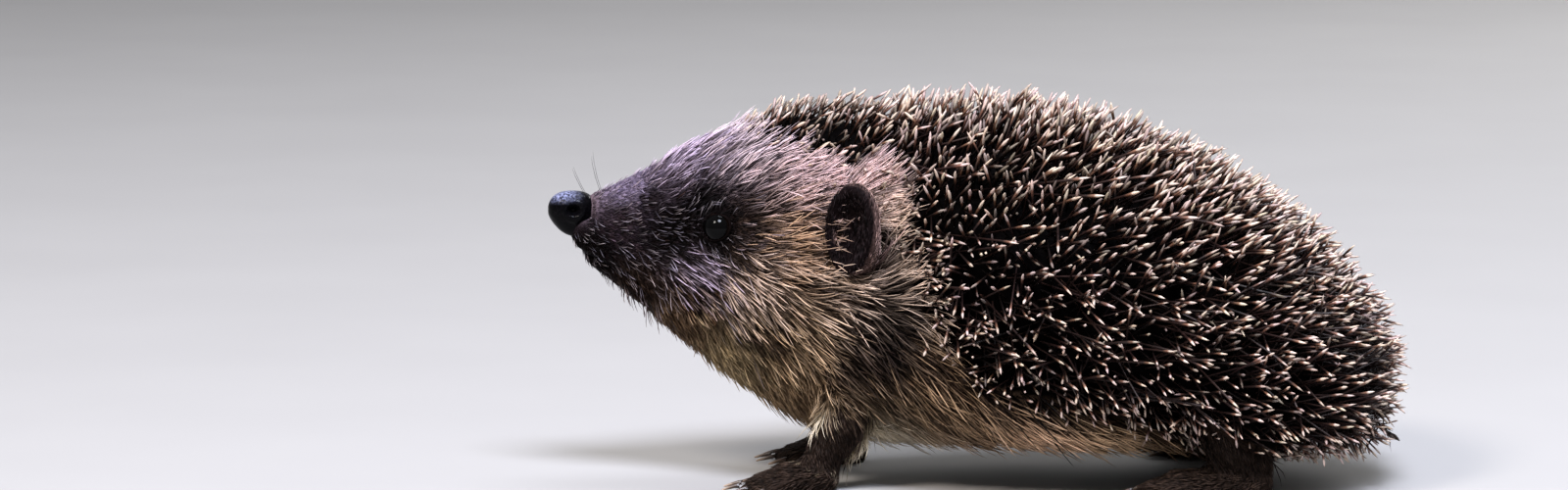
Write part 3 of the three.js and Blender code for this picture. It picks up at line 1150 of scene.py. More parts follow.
@dataclass
class Claws:
    """The twenty claws, rounded off from their solids."""

    def build(self, groups: Groups, finish: ClawFinish) -> bpy.types.Object:
        """Builds the claws as one piece.

        Args:
            groups: The shared node groups.
            finish: Their finish.

        Returns:
            The piece.
        """
        mesh = modified(mesh_of("claws", merged_nodes(CLAW_NODES)), "SUBSURF", levels=2, render_levels=2)
        surface = Surface(mesh)
        along = np.zeros(len(surface.points))
        for name in CLAW_NODES:
            low, high = box_of(name)
            held = np.all((surface.points > low - 0.2 * MM) & (surface.points < high + 0.2 * MM), axis=1)
            along[held] = (high[1] - surface.points[held, 1]) / (high[1] - low[1])
        value_attribute(mesh, "along", along)
        piece = placed("claws", mesh, finish.build(groups))
        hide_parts(*CLAW_NODES)
        return piece


# ---------------------------------------------------------------- the skin
class Flesh(IntEnum):
    """A kind of flesh under the coat."""

    MANTLE = 0
    BODY = 1
    LEG = 2
    FOOT = 3
    TAIL = 4


FLESH_OF = {
    "mantle": Flesh.MANTLE,
    "tail": Flesh.TAIL,
    **dict.fromkeys(LEG_NODES, Flesh.LEG),
    **dict.fromkeys(FOOT_NODES, Flesh.FOOT),
}


@dataclass
class Skin:
    """One skin over the whole animal, sunk under the solids by the depth of the coat.

    Attributes:
        eyes: The eyes, which the lids are shaped round.
        nose: The nose pad, which the skin is drawn in behind.
        first_voxel: How finely the body is closed before it sinks.
        voxel: How finely the skin is made.
        closing: How far the solids grow so that their cuts close.
        spine_depth: How deep the skin lies under the spines.
        crown_depth: How deep it lies where the spines begin, on the crown.
        leg_depth, tail_depth, foot_depth: How deep it lies on these.
        spines_forward: How far the spines reach forward of the mantle, high on the body.
        spines_lower: How far they reach below it, at the shoulder and at the haunch.
        mouth: Points of the line between the lips, back and up, in millimetres.
        lip_line: The depth and width of the groove between the lips.
        lip: The height, distance from the line and width of the swelling along it.
        cheek_fold_at: A point on the cheek's fold, in millimetres.
        cheek_fold: The fold's depth, width and reach.
        leg_deep, leg_light: The colours of the legs' hairs at the root and the end.
        ear_deep, ear_light: The same for the ears.
        bowl_deep, bowl_light: The same inside an ear.
        ear_swing: How far forward the ears' bowls face, in degrees.
        ear_seat: How deep an ear's foot sits in the head.
        spiny_deep: The skin's near-black colour between the spines and at their verge: painted shade.
        parts: The share of each part of the body at each point.
    """

    eyes: Sequence[Eye]
    nose: Nose
    first_voxel: float = 1.3 * MM
    voxel: float = 1.03 * MM
    closing: float = 0.3 * MM
    spine_depth: float = 13 * MM
    crown_depth: float = 4.5 * MM
    leg_depth: float = 1.3 * MM
    tail_depth: float = 0.5 * MM
    foot_depth: float = 0.45 * MM
    spines_forward: float = 21 * MM
    spines_lower: tuple[float, float] = (14 * MM, 9 * MM)
    mouth: tuple = ((-116, 61.5), (-101, 58.2), (-89, 52.6), (-79, 47.6), (-74, 43))
    lip_line: tuple[float, float] = (0.85 * MM, 0.6 * MM)
    lip: tuple[float, float, float] = (0.3 * MM, 1.6 * MM, 0.8 * MM)
    cheek_fold_at: tuple[float, float, float] = (21, -61, 57)
    cheek_fold: tuple[float, float, float] = (0.5 * MM, 1.2 * MM, 8 * MM)
    leg_deep: str = "17110e"
    leg_light: str = "4f4037"
    ear_deep: str = "2a1c1b"
    ear_light: str = "bb9a90"
    bowl_deep: str = "070505"
    bowl_light: str = "2a1f20"
    ear_swing: float = 36
    ear_seat: float = 4 * MM
    spiny_deep: str = "030202"
    parts: dict = field(default_factory=dict)

    def build(self, groups: Groups, finish: SkinFinish) -> bpy.types.Object:
        """Builds the skin.

        Args:
            groups: The shared node groups.
            finish: Its finish.

        Returns:
            The piece.
        """
        sunk = self.sunk_body()
        self.body_search = sunk.tree()
        self.body_normals = unit(sunk.normals()[sunk.triangles].sum(1))
        mesh = self.with_ears(sunk)
        self.refine(mesh)
        self.surface = Surface(mesh)
        self.carry_parts(sunk)
        self.shape_face()
        self.surface.write()
        self.mark()
        self.normals = self.surface.normals()
        self.search = self.surface.tree()
        corners = self.surface.triangles
        self.face_normals = unit(self.normals[corners].sum(1))
        piece = placed("skin", mesh, finish.build(groups))
        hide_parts(*TRUNK_NODES, *LEG_NODES, *FOOT_NODES, *EAR_NODES)
        return piece

    def sunk_body(self) -> Surface:
        """Closes the solids into one surface and sinks it by the coat's depth.

        Returns:
            The sunk surface; its parts are kept by point.
        """
        bm = merged_nodes(TRUNK_NODES + LEG_NODES + FOOT_NODES, self.closing)
        for eye in self.eyes:
            add_ball(bm, eye.centre, [4.3 * MM] * 3)
        add_ball(bm, self.nose.centre + [0, 1.4 * MM, 0], self.nose.radii * [0.4, 0.8, 0.65])
        add_ball(bm, self.nose.centre + [0, 1.4 * MM, -3.9 * MM], np.array([3.2, 3.5, 4.0]) * MM)
        mesh = modified(mesh_of("sunk", bm), "REMESH", mode="VOXEL", voxel_size=self.first_voxel)
        sunk = Surface(mesh)
        kinds = self.kinds_at(sunk.points)
        behind = sunk.points.copy()
        behind[:, 1] += self.spines_forward * eased(sunk.points[:, 2], 45 * MM, 78 * MM)
        reached = (self.kinds_at(behind) == Flesh.MANTLE) & ~self.by_ear(sunk.points)
        mantle = (kinds == Flesh.MANTLE) | reached
        above = sunk.points.copy()
        above[:, 1] += 3 * MM
        above[:, 2] += blend(*self.spines_lower, eased(sunk.points[:, 1], -12 * MM, 30 * MM))
        overhung = (self.kinds_at(above) == Flesh.MANTLE) & (kinds == Flesh.BODY)
        mantle |= overhung & (sunk.points[:, 1] > -22 * MM)
        spiny = sunk.smoothed(mantle.astype(float), 8)
        limbs = sunk.smoothed((kinds == Flesh.LEG).astype(float), 2)
        feet = sunk.smoothed((kinds == Flesh.FOOT).astype(float), 1)
        tail = sunk.smoothed((kinds == Flesh.TAIL).astype(float), 2)
        depth = COAT.traits_at(sunk.points)["depth"]
        y, z = sunk.points[:, 1], sunk.points[:, 2]
        under_spines = blend(self.crown_depth, self.spine_depth, eased(y, -52 * MM, -8 * MM))
        under_spines *= blend(0.62, 1.0, eased(z, 8 * MM, 40 * MM))
        depth = blend(depth, under_spines, eased(spiny, 0.25, 0.85))
        for share, thin in ((limbs, self.leg_depth), (tail, self.tail_depth), (feet, self.foot_depth)):
            depth = blend(depth, thin, eased(share, 0.2, 0.8))
        depth = sunk.smoothed(depth, 12)
        depth = blend(depth, self.foot_depth, eased(feet, 0.3, 0.9)) * eased(z, 0.2 * MM, 2.5 * MM)
        fine = np.clip(feet + limbs + tail + eased(-y, 76 * MM, 92 * MM), 0, 1)
        loose = blend(0.3, 0.02, fine)[:, None]
        looser = (0.6 * eased(spiny, 0.05, 0.4) * (1 - fine))[:, None]
        steps = 10
        for _ in range(steps):
            normals = sunk.normals()
            normals = unit(blend(sunk.smoothed(normals, 12), normals, fine[:, None]))
            sunk.points -= normals * depth[:, None] / steps
            sunk.points = sunk.smoothed(sunk.points, 1, loose)
            sunk.points = sunk.smoothed(sunk.points, 10, looser)
        sunk.write()
        verge = sunk.smoothed(spiny, 45) * eased(sunk.points[:, 2], 35 * MM, 60 * MM)
        self.sunk_parts = {"spiny": spiny, "verge": verge, "limb": limbs, "foot": feet, "tail": tail}
        self.sunk_parts["depth"] = depth
        return sunk

    def by_ear(self, points: Array) -> Array:
        """Tells which points lie round the foot of an ear.

        Args:
            points: Rows of positions.

        Returns:
            True for each point that does.
        """
        low, high = box_of("ear_left")
        mirrored = points * np.sign(points[:, :1]) * [1, 0, 0] + points * [0, 1, 1]
        away = (mirrored - (low + high) / 2) / (high - low)
        return (np.hypot(away[:, 1], away[:, 2]) < 0.6) & (away[:, 0] > -1.2)

    def kinds_at(self, points: Array) -> Array:
        """Finds the kind of flesh each point belongs to.

        Args:
            points: Rows of positions.

        Returns:
            The kind of flesh for each point.
        """
        tree, owners = solids_tree(TRUNK_NODES + LEG_NODES + FOOT_NODES)
        kinds = [FLESH_OF.get(name, Flesh.BODY) for name in owners]
        return np.array([kinds[tree.find_nearest(Vector(point))[2]] for point in points])

    def with_ears(self, sunk: Surface) -> bpy.types.Mesh:
        """Joins the ears to the sunk body.

        Args:
            sunk: The sunk body.

        Returns:
            The new mesh.
        """
        bm = bmesh.new()
        bm.from_mesh(sunk.mesh)
        for name, side in zip(EAR_NODES, SIDES.values()):
            low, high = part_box(name)
            middle, half = (low + high) / 2, (high - low) / 2
            for vert in bm.verts:
                away = vert.co - middle
                spot = math.hypot(away.y / half.y, away.z / half.z)
                if spot < 1 and vert.co.x * side > 0:
                    vert.co.x -= side * self.ear_seat * float(1 - eased(spot, 0.55, 1.0))
            bm.from_mesh(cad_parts[name].data)
            across, back = (low.x + high.x) / 2, (low.y + high.y) / 2
            foot = Vector((across - side * 4.5 * MM, back + 2.5 * MM, low.z + 6 * MM))
            add_ball(bm, foot, Vector((4.8, 4.8, 6.5)) * MM)
        bmesh.ops.remove_doubles(bm, verts=bm.verts, dist=1e-6)
        return modified(mesh_of("skin", bm), "REMESH", mode="VOXEL", voxel_size=self.voxel)

    def refine(self, mesh: bpy.types.Mesh) -> None:
        """Splits the faces of the head once, and those round the eyes twice.

        Args:
            mesh: The skin's mesh.
        """
        bm = bmesh.new()
        bm.from_mesh(mesh)
        centres = [Vector(eye.centre) for eye in self.eyes]
        every_axis = {"use_axis_x": True, "use_axis_y": True, "use_axis_z": True}

        def in_face(point: Vector) -> bool:
            """Tells whether a point is on the face."""
            return point.y < -58 * MM and point.z > 30 * MM

        def by_eye(point: Vector) -> bool:
            """Tells whether a point is near an eye."""
            return min((point - centre).length for centre in centres) < 8.5 * MM

        for chosen in (in_face, by_eye):
            edges = [edge for edge in bm.edges if all(chosen(vert.co) for vert in edge.verts)]
            bmesh.ops.subdivide_edges(bm, edges=edges, cuts=1, use_grid_fill=True)
            verts = [vert for vert in bm.verts if chosen(vert.co)]
            for _ in range(2):
                bmesh.ops.smooth_vert(bm, verts=verts, factor=0.5, **every_axis)
        bm.to_mesh(mesh)
        bm.free()

    def carry_parts(self, sunk: Surface) -> None:
        """Brings the sunk body's parts over to the finished skin and finds the ears.

        Args:
            sunk: The sunk body.
        """
        body_tree = sunk.tree()
        surfaces = [Surface(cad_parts[name].data) for name in EAR_NODES]
        ear_trees = [surface.tree() for surface in surfaces]
        near, ear = [], []
        for point in self.surface.points:
            spot = Vector(point)
            _, _, index, far = body_tree.find_nearest(spot)
            near.append(sunk.triangles[index][0])
            ear.append(far > 0.35 * MM and min(tree.find_nearest(spot)[3] for tree in ear_trees) < 3.5 * MM)
        self.parts = {key: value[near] for key, value in self.sunk_parts.items()}
        self.parts["ear"] = self.surface.smoothed(np.array(ear, float), 2)
        points, normals = self.surface.points, self.surface.normals()
        swing = math.radians(self.ear_swing)
        sideways, forward = np.sign(points[:, 0]) * math.cos(swing), np.full(len(points), -math.sin(swing))
        opening = np.stack([sideways, forward], 1)
        facing = (normals[:, :2] * opening).sum(1)
        self.parts["bowl"] = self.surface.smoothed(self.parts["ear"] * eased(facing, 0.1, 0.5), 2)
        tip = eased(-self.surface.points[:, 1], 84 * MM, 96 * MM)
        fine = np.clip(self.parts["ear"] + self.parts["foot"] + tip, 0, 1)
        self.surface.points = self.surface.smoothed(self.surface.points, 3, blend(0.35, 0.1, fine)[:, None])

    def shape_face(self) -> None:
        """Shapes the lids, the mouth, the lips and the folds of the cheek."""
        points = self.surface.points
        for eye in self.eyes:
            points = eye.shape_lids(points)
        normals = self.surface.normals()
        line = np.array(self.mouth) * MM
        spot = points[:, 1:]
        far = np.full(len(points), 1.0)
        over = np.zeros(len(points))
        for start, end in zip(line[:-1], line[1:]):
            step = end - start
            share = np.clip((spot - start) @ step / (step @ step), 0, 1)
            away = spot - (start + share[:, None] * step)
            reach = np.linalg.norm(away, axis=1)
            closer = reach < far
            over = np.where(closer, away[:, 1], over)
            far = np.minimum(far, reach)
        fades = 1 - eased(points[:, 1], -78 * MM, -73 * MM)
        groove = self.lip_line[0] * ridge(far, self.lip_line[1])
        swell, lip_at, lip_width = self.lip
        lips = swell * ridge(far - lip_at, lip_width) * np.where(over > 0, 1.2, 0.8)
        points = points + normals * ((lips - groove) * fades)[:, None]
        fold_at = np.abs(points) * [1, -1, 1] - np.array(self.cheek_fold_at) * MM
        fold_depth, fold_width, fold_reach = self.cheek_fold
        fold = fold_depth * ridge(fold_at[:, 2] + 0.5 * fold_at[:, 1], fold_width)
        points = points - normals * (fold * ridge(fold_at[:, 1], fold_reach))[:, None]
        points = self.nose.bared(points)
        points[:, 2] = np.maximum(points[:, 2], 0)
        sole = (points[:, 2] < 0.7 * MM) & (self.parts["foot"] > 0.5)
        points[sole, 2] = 0
        self.surface.points = points

    def colours_at(self, points: Array, parts: dict[str, Array]) -> tuple[Array, Array]:
        """Finds the deep and light colours of the coat, with painted shade under the spines.

        Args:
            points: Rows of positions on the skin.
            parts: The share of each part at each point.

        Returns:
            The deep and light colours.
        """
        traits = COAT.traits_at(points)
        deep, light = traits["deep"], traits["light"]
        # Painted shade: between the spines and at their verge, the skin and the fur's roots are darkened to
        # near-black.
        spiny = eased(parts["spiny"], 0.35, 0.75)[:, None]
        dark = np.array(rgb(self.spiny_deep))
        deep = blend(deep, dark, np.maximum(spiny, eased(parts["verge"], 0.12, 0.4)[:, None]))
        light = blend(light, dark * 1.8, spiny)
        limb = np.maximum.reduce([parts["limb"], parts["foot"], parts["tail"]])
        for share, root, end in (
            (eased(limb, 0.2, 0.7), self.leg_deep, self.leg_light),
            (eased(parts["ear"], 0.2, 0.8), self.ear_deep, self.ear_light),
            (eased(parts["bowl"], 0.2, 0.7), self.bowl_deep, self.bowl_light),
        ):
            deep = blend(deep, np.array(rgb(root)), share[:, None])
            light = blend(light, np.array(rgb(end)), share[:, None])
        return deep, light

    def mark(self) -> None:
        """Writes the coat's colours into the skin's mesh."""
        for name, colours in zip(("deep", "light"), self.colours_at(self.surface.points, self.parts)):
            colour_attribute(self.surface.mesh, name, colours)

    def scatter(self, weight: Array, count: int, rng: np.random.Generator) -> "Roots":
        """Scatters roots over the skin.

        Args:
            weight: How dense they are at each point.
            count: How many.
            rng: The source of chance.

        Returns:
            The roots.
        """
        corners = self.surface.triangles
        size = np.linalg.norm(self.surface.across(), axis=1) * weight[corners].mean(1)
        total = np.cumsum(size)
        picked = np.searchsorted(total, rng.random(count) * total[-1])
        a, b = rng.random((2, count, 1))
        over = a + b > 1
        a, b = np.where(over, 1 - a, a), np.where(over, 1 - b, b)
        shares = np.hstack([1 - a - b, a, b])
        chosen = corners[picked]

        def carried(values: Array) -> Array:
            """Carries values from the corners to the roots."""
            return (values[chosen] * shares.reshape(count, 3, *[1] * (values.ndim - 1))).sum(1)

        parts = {key: carried(value) for key, value in self.parts.items()}
        return Roots(self, carried(self.surface.points), unit(carried(self.normals)), parts)

    def nearest(self, points: Array, ears: bool = True) -> tuple[Array, Array]:
        """Finds the nearest places on the skin and their normals.

        Args:
            points: Rows of positions.
            ears: Whether the ears count.

        Returns:
            The places and the normals.
        """
        search, normals = (self.search, self.face_normals) if ears else (self.body_search, self.body_normals)
        found = [search.find_nearest(Vector(point)) for point in points]
        return np.array([hit[0] for hit in found]), normals[[hit[2] for hit in found]]


# ---------------------------------------------------------------- hair and spines
@dataclass
class Roots:
    """Where hairs grow: their places, the skin's normals there and its parts."""

    skin: Skin
    points: Array
    normals: Array
    parts: dict[str, Array]

    def kept(self, held: Array) -> "Roots":
        """Keeps some of the roots."""
        parts = {key: value[held] for key, value in self.parts.items()}
        return Roots(self.skin, self.points[held], self.normals[held], parts)

    def spread(self, gap: float) -> "Roots":
        """Keeps only roots that stand at least a gap apart.

        Args:
            gap: The smallest distance, in metres.

        Returns:
            The kept roots.
        """
        cells: dict[tuple[int, int, int], list[int]] = {}
        held = []
        keys = np.floor(self.points / gap).astype(int)
        steps = [(i, j, k) for i in (-1, 0, 1) for j in (-1, 0, 1) for k in (-1, 0, 1)]
        places = self.points.tolist()
        for index, (i, j, k) in enumerate(keys.tolist()):
            x, y, z = places[index]
            near = (cells.get((i + a, j + b, k + c), ()) for a, b, c in steps)
            if any(math.dist((x, y, z), places[other]) < gap for group in near for other in group):
                continue
            cells.setdefault((i, j, k), []).append(index)
            held.append(index)
        return self.kept(np.array(held))


@dataclass(frozen=True)
class HairForm:
    """The form of one hair or spine: its sides and its thickness at stations along it."""

    sides: int
    stations: tuple[tuple[float, float], ...]

    def template(self) -> tuple[Array, list[list[int]]]:
        """Makes one upright hair of length 1.

        Returns:
            Its points and its faces.
        """
        bm = bmesh.new()
        settings = {"segments": self.sides, "radius1": 1, "radius2": 0, "depth": 1}
        bmesh.ops.create_cone(bm, cap_ends=True, **settings)
        bmesh.ops.translate(bm, verts=bm.verts, vec=(0, 0, 0.5))
        for share, _ in self.stations[1:-1]:
            parts = [*bm.verts, *bm.edges, *bm.faces]
            bmesh.ops.bisect_plane(bm, geom=parts, plane_co=(0, 0, share), plane_no=(0, 0, 1))
        bmesh.ops.remove_doubles(bm, verts=bm.verts, dist=1e-5)
        bmesh.ops.recalc_face_normals(bm, faces=bm.faces)
        bm.verts.index_update()
        points = np.array([vert.co for vert in bm.verts])
        faces = [[vert.index for vert in face.verts] for face in bm.faces]
        bm.free()
        return points, faces

    def thickness(self, along: Array) -> Array:
        """Gives the share of the full thickness at shares of the length."""
        return np.interp(along, *zip(*self.stations))


FINE_HAIR = HairForm(3, ((0, 0.8), (0.6, 1.0), (1, 0)))
SOFT_HAIR = HairForm(3, ((0, 0.7), (0.4, 1.0), (0.8, 0.7), (1, 0)))
LONG_HAIR = HairForm(3, ((0, 0.7), (0.35, 1.0), (0.7, 0.8), (0.9, 0.45), (1, 0)))
SPINE = HairForm(4, ((0, 0.6), (0.8, 0.85), (0.88, 1.0), (0.95, 0.62), (1, 0)))


class Unwrap(Enum):
    """How a piece's roots are laid out on its map."""

    BODY = "round the body"
    LIMBS = "round each limb"


def unwrapped(points: Array, kind: Unwrap) -> Array:
    """Lays roots out on an unwrap of the skin.

    Args:
        points: The roots.
        kind: How.

    Returns:
        A place on the map for each root.
    """
    if kind is Unwrap.BODY:
        axis = np.interp(points[:, 1], np.array([-105, -50, 0, 105]) * MM, np.array([66, 56, 46, 30]) * MM)
        turn = np.arctan2(points[:, 0], points[:, 2] - axis) / math.tau + 0.5
        span = points[:, 1]
        tile = np.zeros((len(points), 2))
        scale = 1.0
    else:
        tile = np.stack([points[:, 0] > 0, points[:, 1] > points[:, 1].mean()], 1) * 0.5
        turn, span = np.zeros(len(points)), points[:, 2]
        for corner in np.unique(tile, axis=0):
            held = (tile == corner).all(1)
            away = points[held] - points[held].mean(0)
            turn[held] = np.arctan2(away[:, 0], away[:, 1]) / math.tau + 0.5
        scale = 0.5
    span = (span - span.min()) / max(np.ptp(span), 1e-9)
    return np.clip(tile + np.stack([turn, span], 1) * scale, PATCH, 1 - PATCH)


@dataclass
class Strands:
    """Many hairs of one form: the path, thickness and colours of each."""

    form: HairForm
    paths: Array
    thick: Array
    deep: Array
    light: Array
    roots: Array
    stretch: Array | None = None

    def __post_init__(self) -> None:
        """Leaves the colours along the strands unstretched, unless told otherwise."""
        if self.stretch is None:
            self.stretch = np.ones(len(self.roots))

    def kept(self, held: Array) -> "Strands":
        """Keeps some of the strands."""
        rows = (self.paths, self.thick, self.deep, self.light, self.roots, self.stretch)
        return Strands(self.form, *(row[held] for row in rows))

    def clumped(self, lock: Array, pull: float) -> "Strands":
        """Draws the ends of neighbouring strands together into pointed locks.

        Args:
            lock: The number of each strand's lock.
            pull: How far the ends move to their lock's mean end.

        Returns:
            These strands.
        """
        count = np.maximum(np.bincount(lock), 1)[:, None]
        for station, share in ((1, 0.2), (2, 0.62), (3, 1.0)):
            place = self.paths[:, station]
            mean = np.stack([np.bincount(lock, place[:, axis]) for axis in range(3)], 1) / count
            self.paths[:, station] = blend(place, mean[lock], pull * share)
        return self

    def mesh(self, name: str, kind: Unwrap) -> bpy.types.Mesh:
        """Joins the strands into one mesh.

        Args:
            name: The mesh's name.
            kind: How its map is laid out.

        Returns:
            The mesh, with the strands' colours, their place along and their map.
        """
        template, faces = self.form.template()
        along, turn = template[:, 2], np.arctan2(template[:, 1], template[:, 0])
        t = along[:, None, None]
        a, b, c, d = (self.paths[:, i][None] for i in range(4))
        centre = (1 - t) ** 3 * a + 3 * (1 - t) ** 2 * t * b + 3 * (1 - t) * t**2 * c + t**3 * d
        heading = unit((1 - t) ** 2 * (b - a) + 2 * (1 - t) * t * (c - b) + t**2 * (d - c))
        first = unit(np.cross(self.paths[:, 3] - self.paths[:, 0], [0.31, 0.17, 0.94]))[None]
        side = flattened(first, heading)
        other = np.cross(heading, side)
        width = (self.form.thickness(along)[:, None] * self.thick[None] / 2)[..., None]
        round_about = np.cos(turn)[:, None, None] * side + np.sin(turn)[:, None, None] * other
        points = (centre + width * round_about).transpose(1, 0, 2).reshape(-1, 3)
        count, size = len(self.paths), len(template)
        corners = np.concatenate([np.array(face) for face in faces])
        starts = np.cumsum([0] + [len(face) for face in faces[:-1]])
        shift = np.arange(count)[:, None]
        made = bpy.data.meshes.new(name)
        made.vertices.add(len(points))
        made.vertices.foreach_set("co", points.ravel())
        made.loops.add(count * len(corners))
        made.loops.foreach_set("vertex_index", (corners[None] + shift * size).ravel())
        made.polygons.add(count * len(faces))
        made.polygons.foreach_set("loop_start", (starts[None] + shift * len(corners)).ravel())
        made.update(calc_edges=True)
        colour_attribute(made, "deep", np.repeat(self.deep, size, axis=0))
        colour_attribute(made, "light", np.repeat(self.light, size, axis=0))
        shown = np.maximum(1 - (1 - along)[None] * self.stretch[:, None], 0)
        value_attribute(made, "along", shown)
        spot = unwrapped(self.roots, kind)[:, None, :]
        patch = np.stack([turn / math.tau, along - 0.5], 1)[None] * PATCH
        places = np.clip(spot + patch, 0, 1)[:, corners]
        made.uv_layers.new(name=UNWRAP_MAP).data.foreach_set("uv", places.astype(np.float32).ravel())
        return made


@dataclass
class Spines:
    """The spiny mantle: banded spines that lean back and cross each other.

    Attributes:
        skin: The skin that they stand in.
        count: How many roots are tried.
        gap: The least distance between two roots.
        thick: How thick a spine is.
        dull: The share of spines that are darker and shorter; their darkness is partly their own varying
            tone and partly painted shade that fills the gaps under the pale tips.
        usual: The length at which the bands have their usual widths.
        narrower: How long the bands look high up and low down.
        lean: How far spines lean back high up and low down, in degrees.
        jitter: How much neighbours differ in direction.
        shortest: The least room in which a spine stands.
        rooted: How deep a spine's foot sits in the skin.
        bend: How much a spine bends, in shares of its length.
    """

    skin: Skin
    count: int = 52000
    gap: float = 1.54 * MM
    thick: float = 0.79 * MM
    dull: float = 0.33
    usual: float = 16 * MM
    narrower: tuple[float, float] = (0.85, 1.25)
    lean: tuple[float, float] = (19, 26)
    jitter: float = 0.34
    shortest: float = 3 * MM
    rooted: float = 0.6 * MM
    bend: float = 0.02

    def directions(self, roots: Roots, rng: np.random.Generator) -> Array:
        """Finds which way each spine points.

        Args:
            roots: Their roots.
            rng: The source of chance.

        Returns:
            A unit vector for each.
        """
        points, normals = roots.points, roots.normals
        low = 1 - eased(points[:, 2], 30 * MM, 78 * MM)
        back = np.stack([0.1 * np.sign(points[:, 0]), np.ones(len(points)), 0.15 * low], 1)
        back = flattened(back, normals)
        lean = np.radians(blend(*self.lean, low))[:, None]
        lean = blend(math.radians(50), lean, eased(points[:, 1], -62 * MM, -34 * MM)[:, None])
        way = normals * np.cos(lean) + back * np.sin(lean)
        spread = (self.jitter * (1 + 0.25 * low))[:, None]
        return unit(way + rng.normal(size=way.shape) * spread)

    def reach(self, roots: Roots, ways: Array) -> Array:
        """Measures from each root to the mantle's outer surface.

        Args:
            roots: The roots.
            ways: The spines' directions.

        Returns:
            The distances, 0 where there is nothing to meet.
        """
        tree, _ = solids_tree(TRUNK_NODES)
        far = 60 * MM
        found = []
        for point, way in zip(roots.points, ways):
            hit = tree.ray_cast(Vector(point + way * far), Vector(-way), far)
            found.append(far - hit[3] if hit[0] else 0)
        return np.array(found)

    def build(self, groups: Groups, finish: SpineFinish) -> list[bpy.types.Object]:
        """Builds the spines, one piece for each side.

        Args:
            groups: The shared node groups.
            finish: Their finish.

        Returns:
            The pieces.
        """
        rng = np.random.default_rng(21)
        weight = eased(self.skin.parts["spiny"], 0.42, 0.62)
        weight *= 1 - eased(self.skin.parts["ear"], 0.1, 0.5)
        roots = self.skin.scatter(weight, self.count, rng).spread(self.gap)
        ways = self.directions(roots, rng)
        length = self.reach(roots, ways)
        upright = np.maximum((ways * roots.normals).sum(1), 0.45)
        length = np.minimum(length, 1.2 * roots.parts["depth"] / upright + 1.5 * MM)
        held = length > self.shortest
        roots, ways, length = roots.kept(held), ways[held], length[held]
        dull = rng.random(len(length)) < self.dull
        length = length * rng.uniform(0.74, 1.16, len(length)) * np.where(dull, 0.8, 1.0) + 0.3 * MM
        start = roots.points - roots.normals * self.rooted
        bend = flattened(rng.normal(size=ways.shape), ways) * (length * self.bend)[:, None]
        step = ways * (length / 3)[:, None]
        paths = np.stack([start, start + step + bend, start + 2 * step + bend, start + 3 * step], 1)
        thick = self.thick * rng.uniform(0.8, 1.15, len(length))
        thick *= blend(0.72, 1, eased(length, 5 * MM, 13 * MM))
        tint = rng.uniform([0.97, 0.9, 0.86], [1.05, 1.02, 1.04], (len(length), 3))
        # Partly painted shade: the dull spines are darkened to fill the gaps under the pale tips.
        tint *= (rng.uniform(0.5, 1.05, len(length)) * np.where(dull, 0.3, 1.0))[:, None]
        low = 1 - eased(roots.points[:, 2], 30 * MM, 75 * MM)
        stretch = length / self.usual * blend(*self.narrower, low)
        strands = Strands(SPINE, paths, thick * blend(1.05, 0.9, low), tint, tint, roots.points, stretch)
        material = finish.build(groups)
        pieces = []
        for side, sign in SIDES.items():
            held = np.sign(roots.points[:, 0]) == sign
            mesh = strands.kept(held).mesh(f"spines_{side}", Unwrap.BODY)
            pieces.append(placed(mesh.name, mesh, material))
        return pieces


@dataclass(frozen=True)
class FurBed:
    """One part of the fur: how many strands, how thick, and how they lie.

    Attributes:
        bed: The part.
        slot: The name of a material slot; not used.
        count: How many strands.
        thick: How thick they are, in millimetres.
        form: Their form.
        split: Whether left and right are pieces of their own.
        stand: How far they stand off the skin, in shares of the coat's depth, from and to.
        lock: How wide a lock is, in millimetres.
        pull: How far the ends in a lock draw together.
        stray: How much strands swerve from the lie of the coat.
        fleck: How rare the palest strands are; 1 makes all tones as common.
        tones: How far strands go from the deep to the light colour, from and to.
        frost: How far the light colour goes to the pelt's frost.
        hues: How much strands differ between cool and warm.
        patchy: How much locks differ in brightness.
        drift: How far away a lock may take its colour from, in millimetres.
        longer: The length, in shares of the coat's.
        over: How far outwards the ends reach, past the ear, in millimetres.
        length: A length in place of the coat's, in millimetres.
        depth: The depth that goes with it, in millimetres.
    """

    bed: Bed
    slot: str
    count: int
    thick: float
    form: HairForm = SOFT_HAIR
    split: bool = False
    stand: tuple[float, float] = (0.3, 1.05)
    lock: float = 2.5
    pull: float = 0.45
    stray: float = 0.12
    fleck: float = 1.4
    tones: tuple[float, float] = (0.0, 1.15)
    frost: float = 0.0
    hues: float = 0.35
    patchy: float = 0.3
    drift: float = 1.5
    longer: float = 1.0
    over: float = 0.0
    length: float | None = None
    depth: float = 1.0


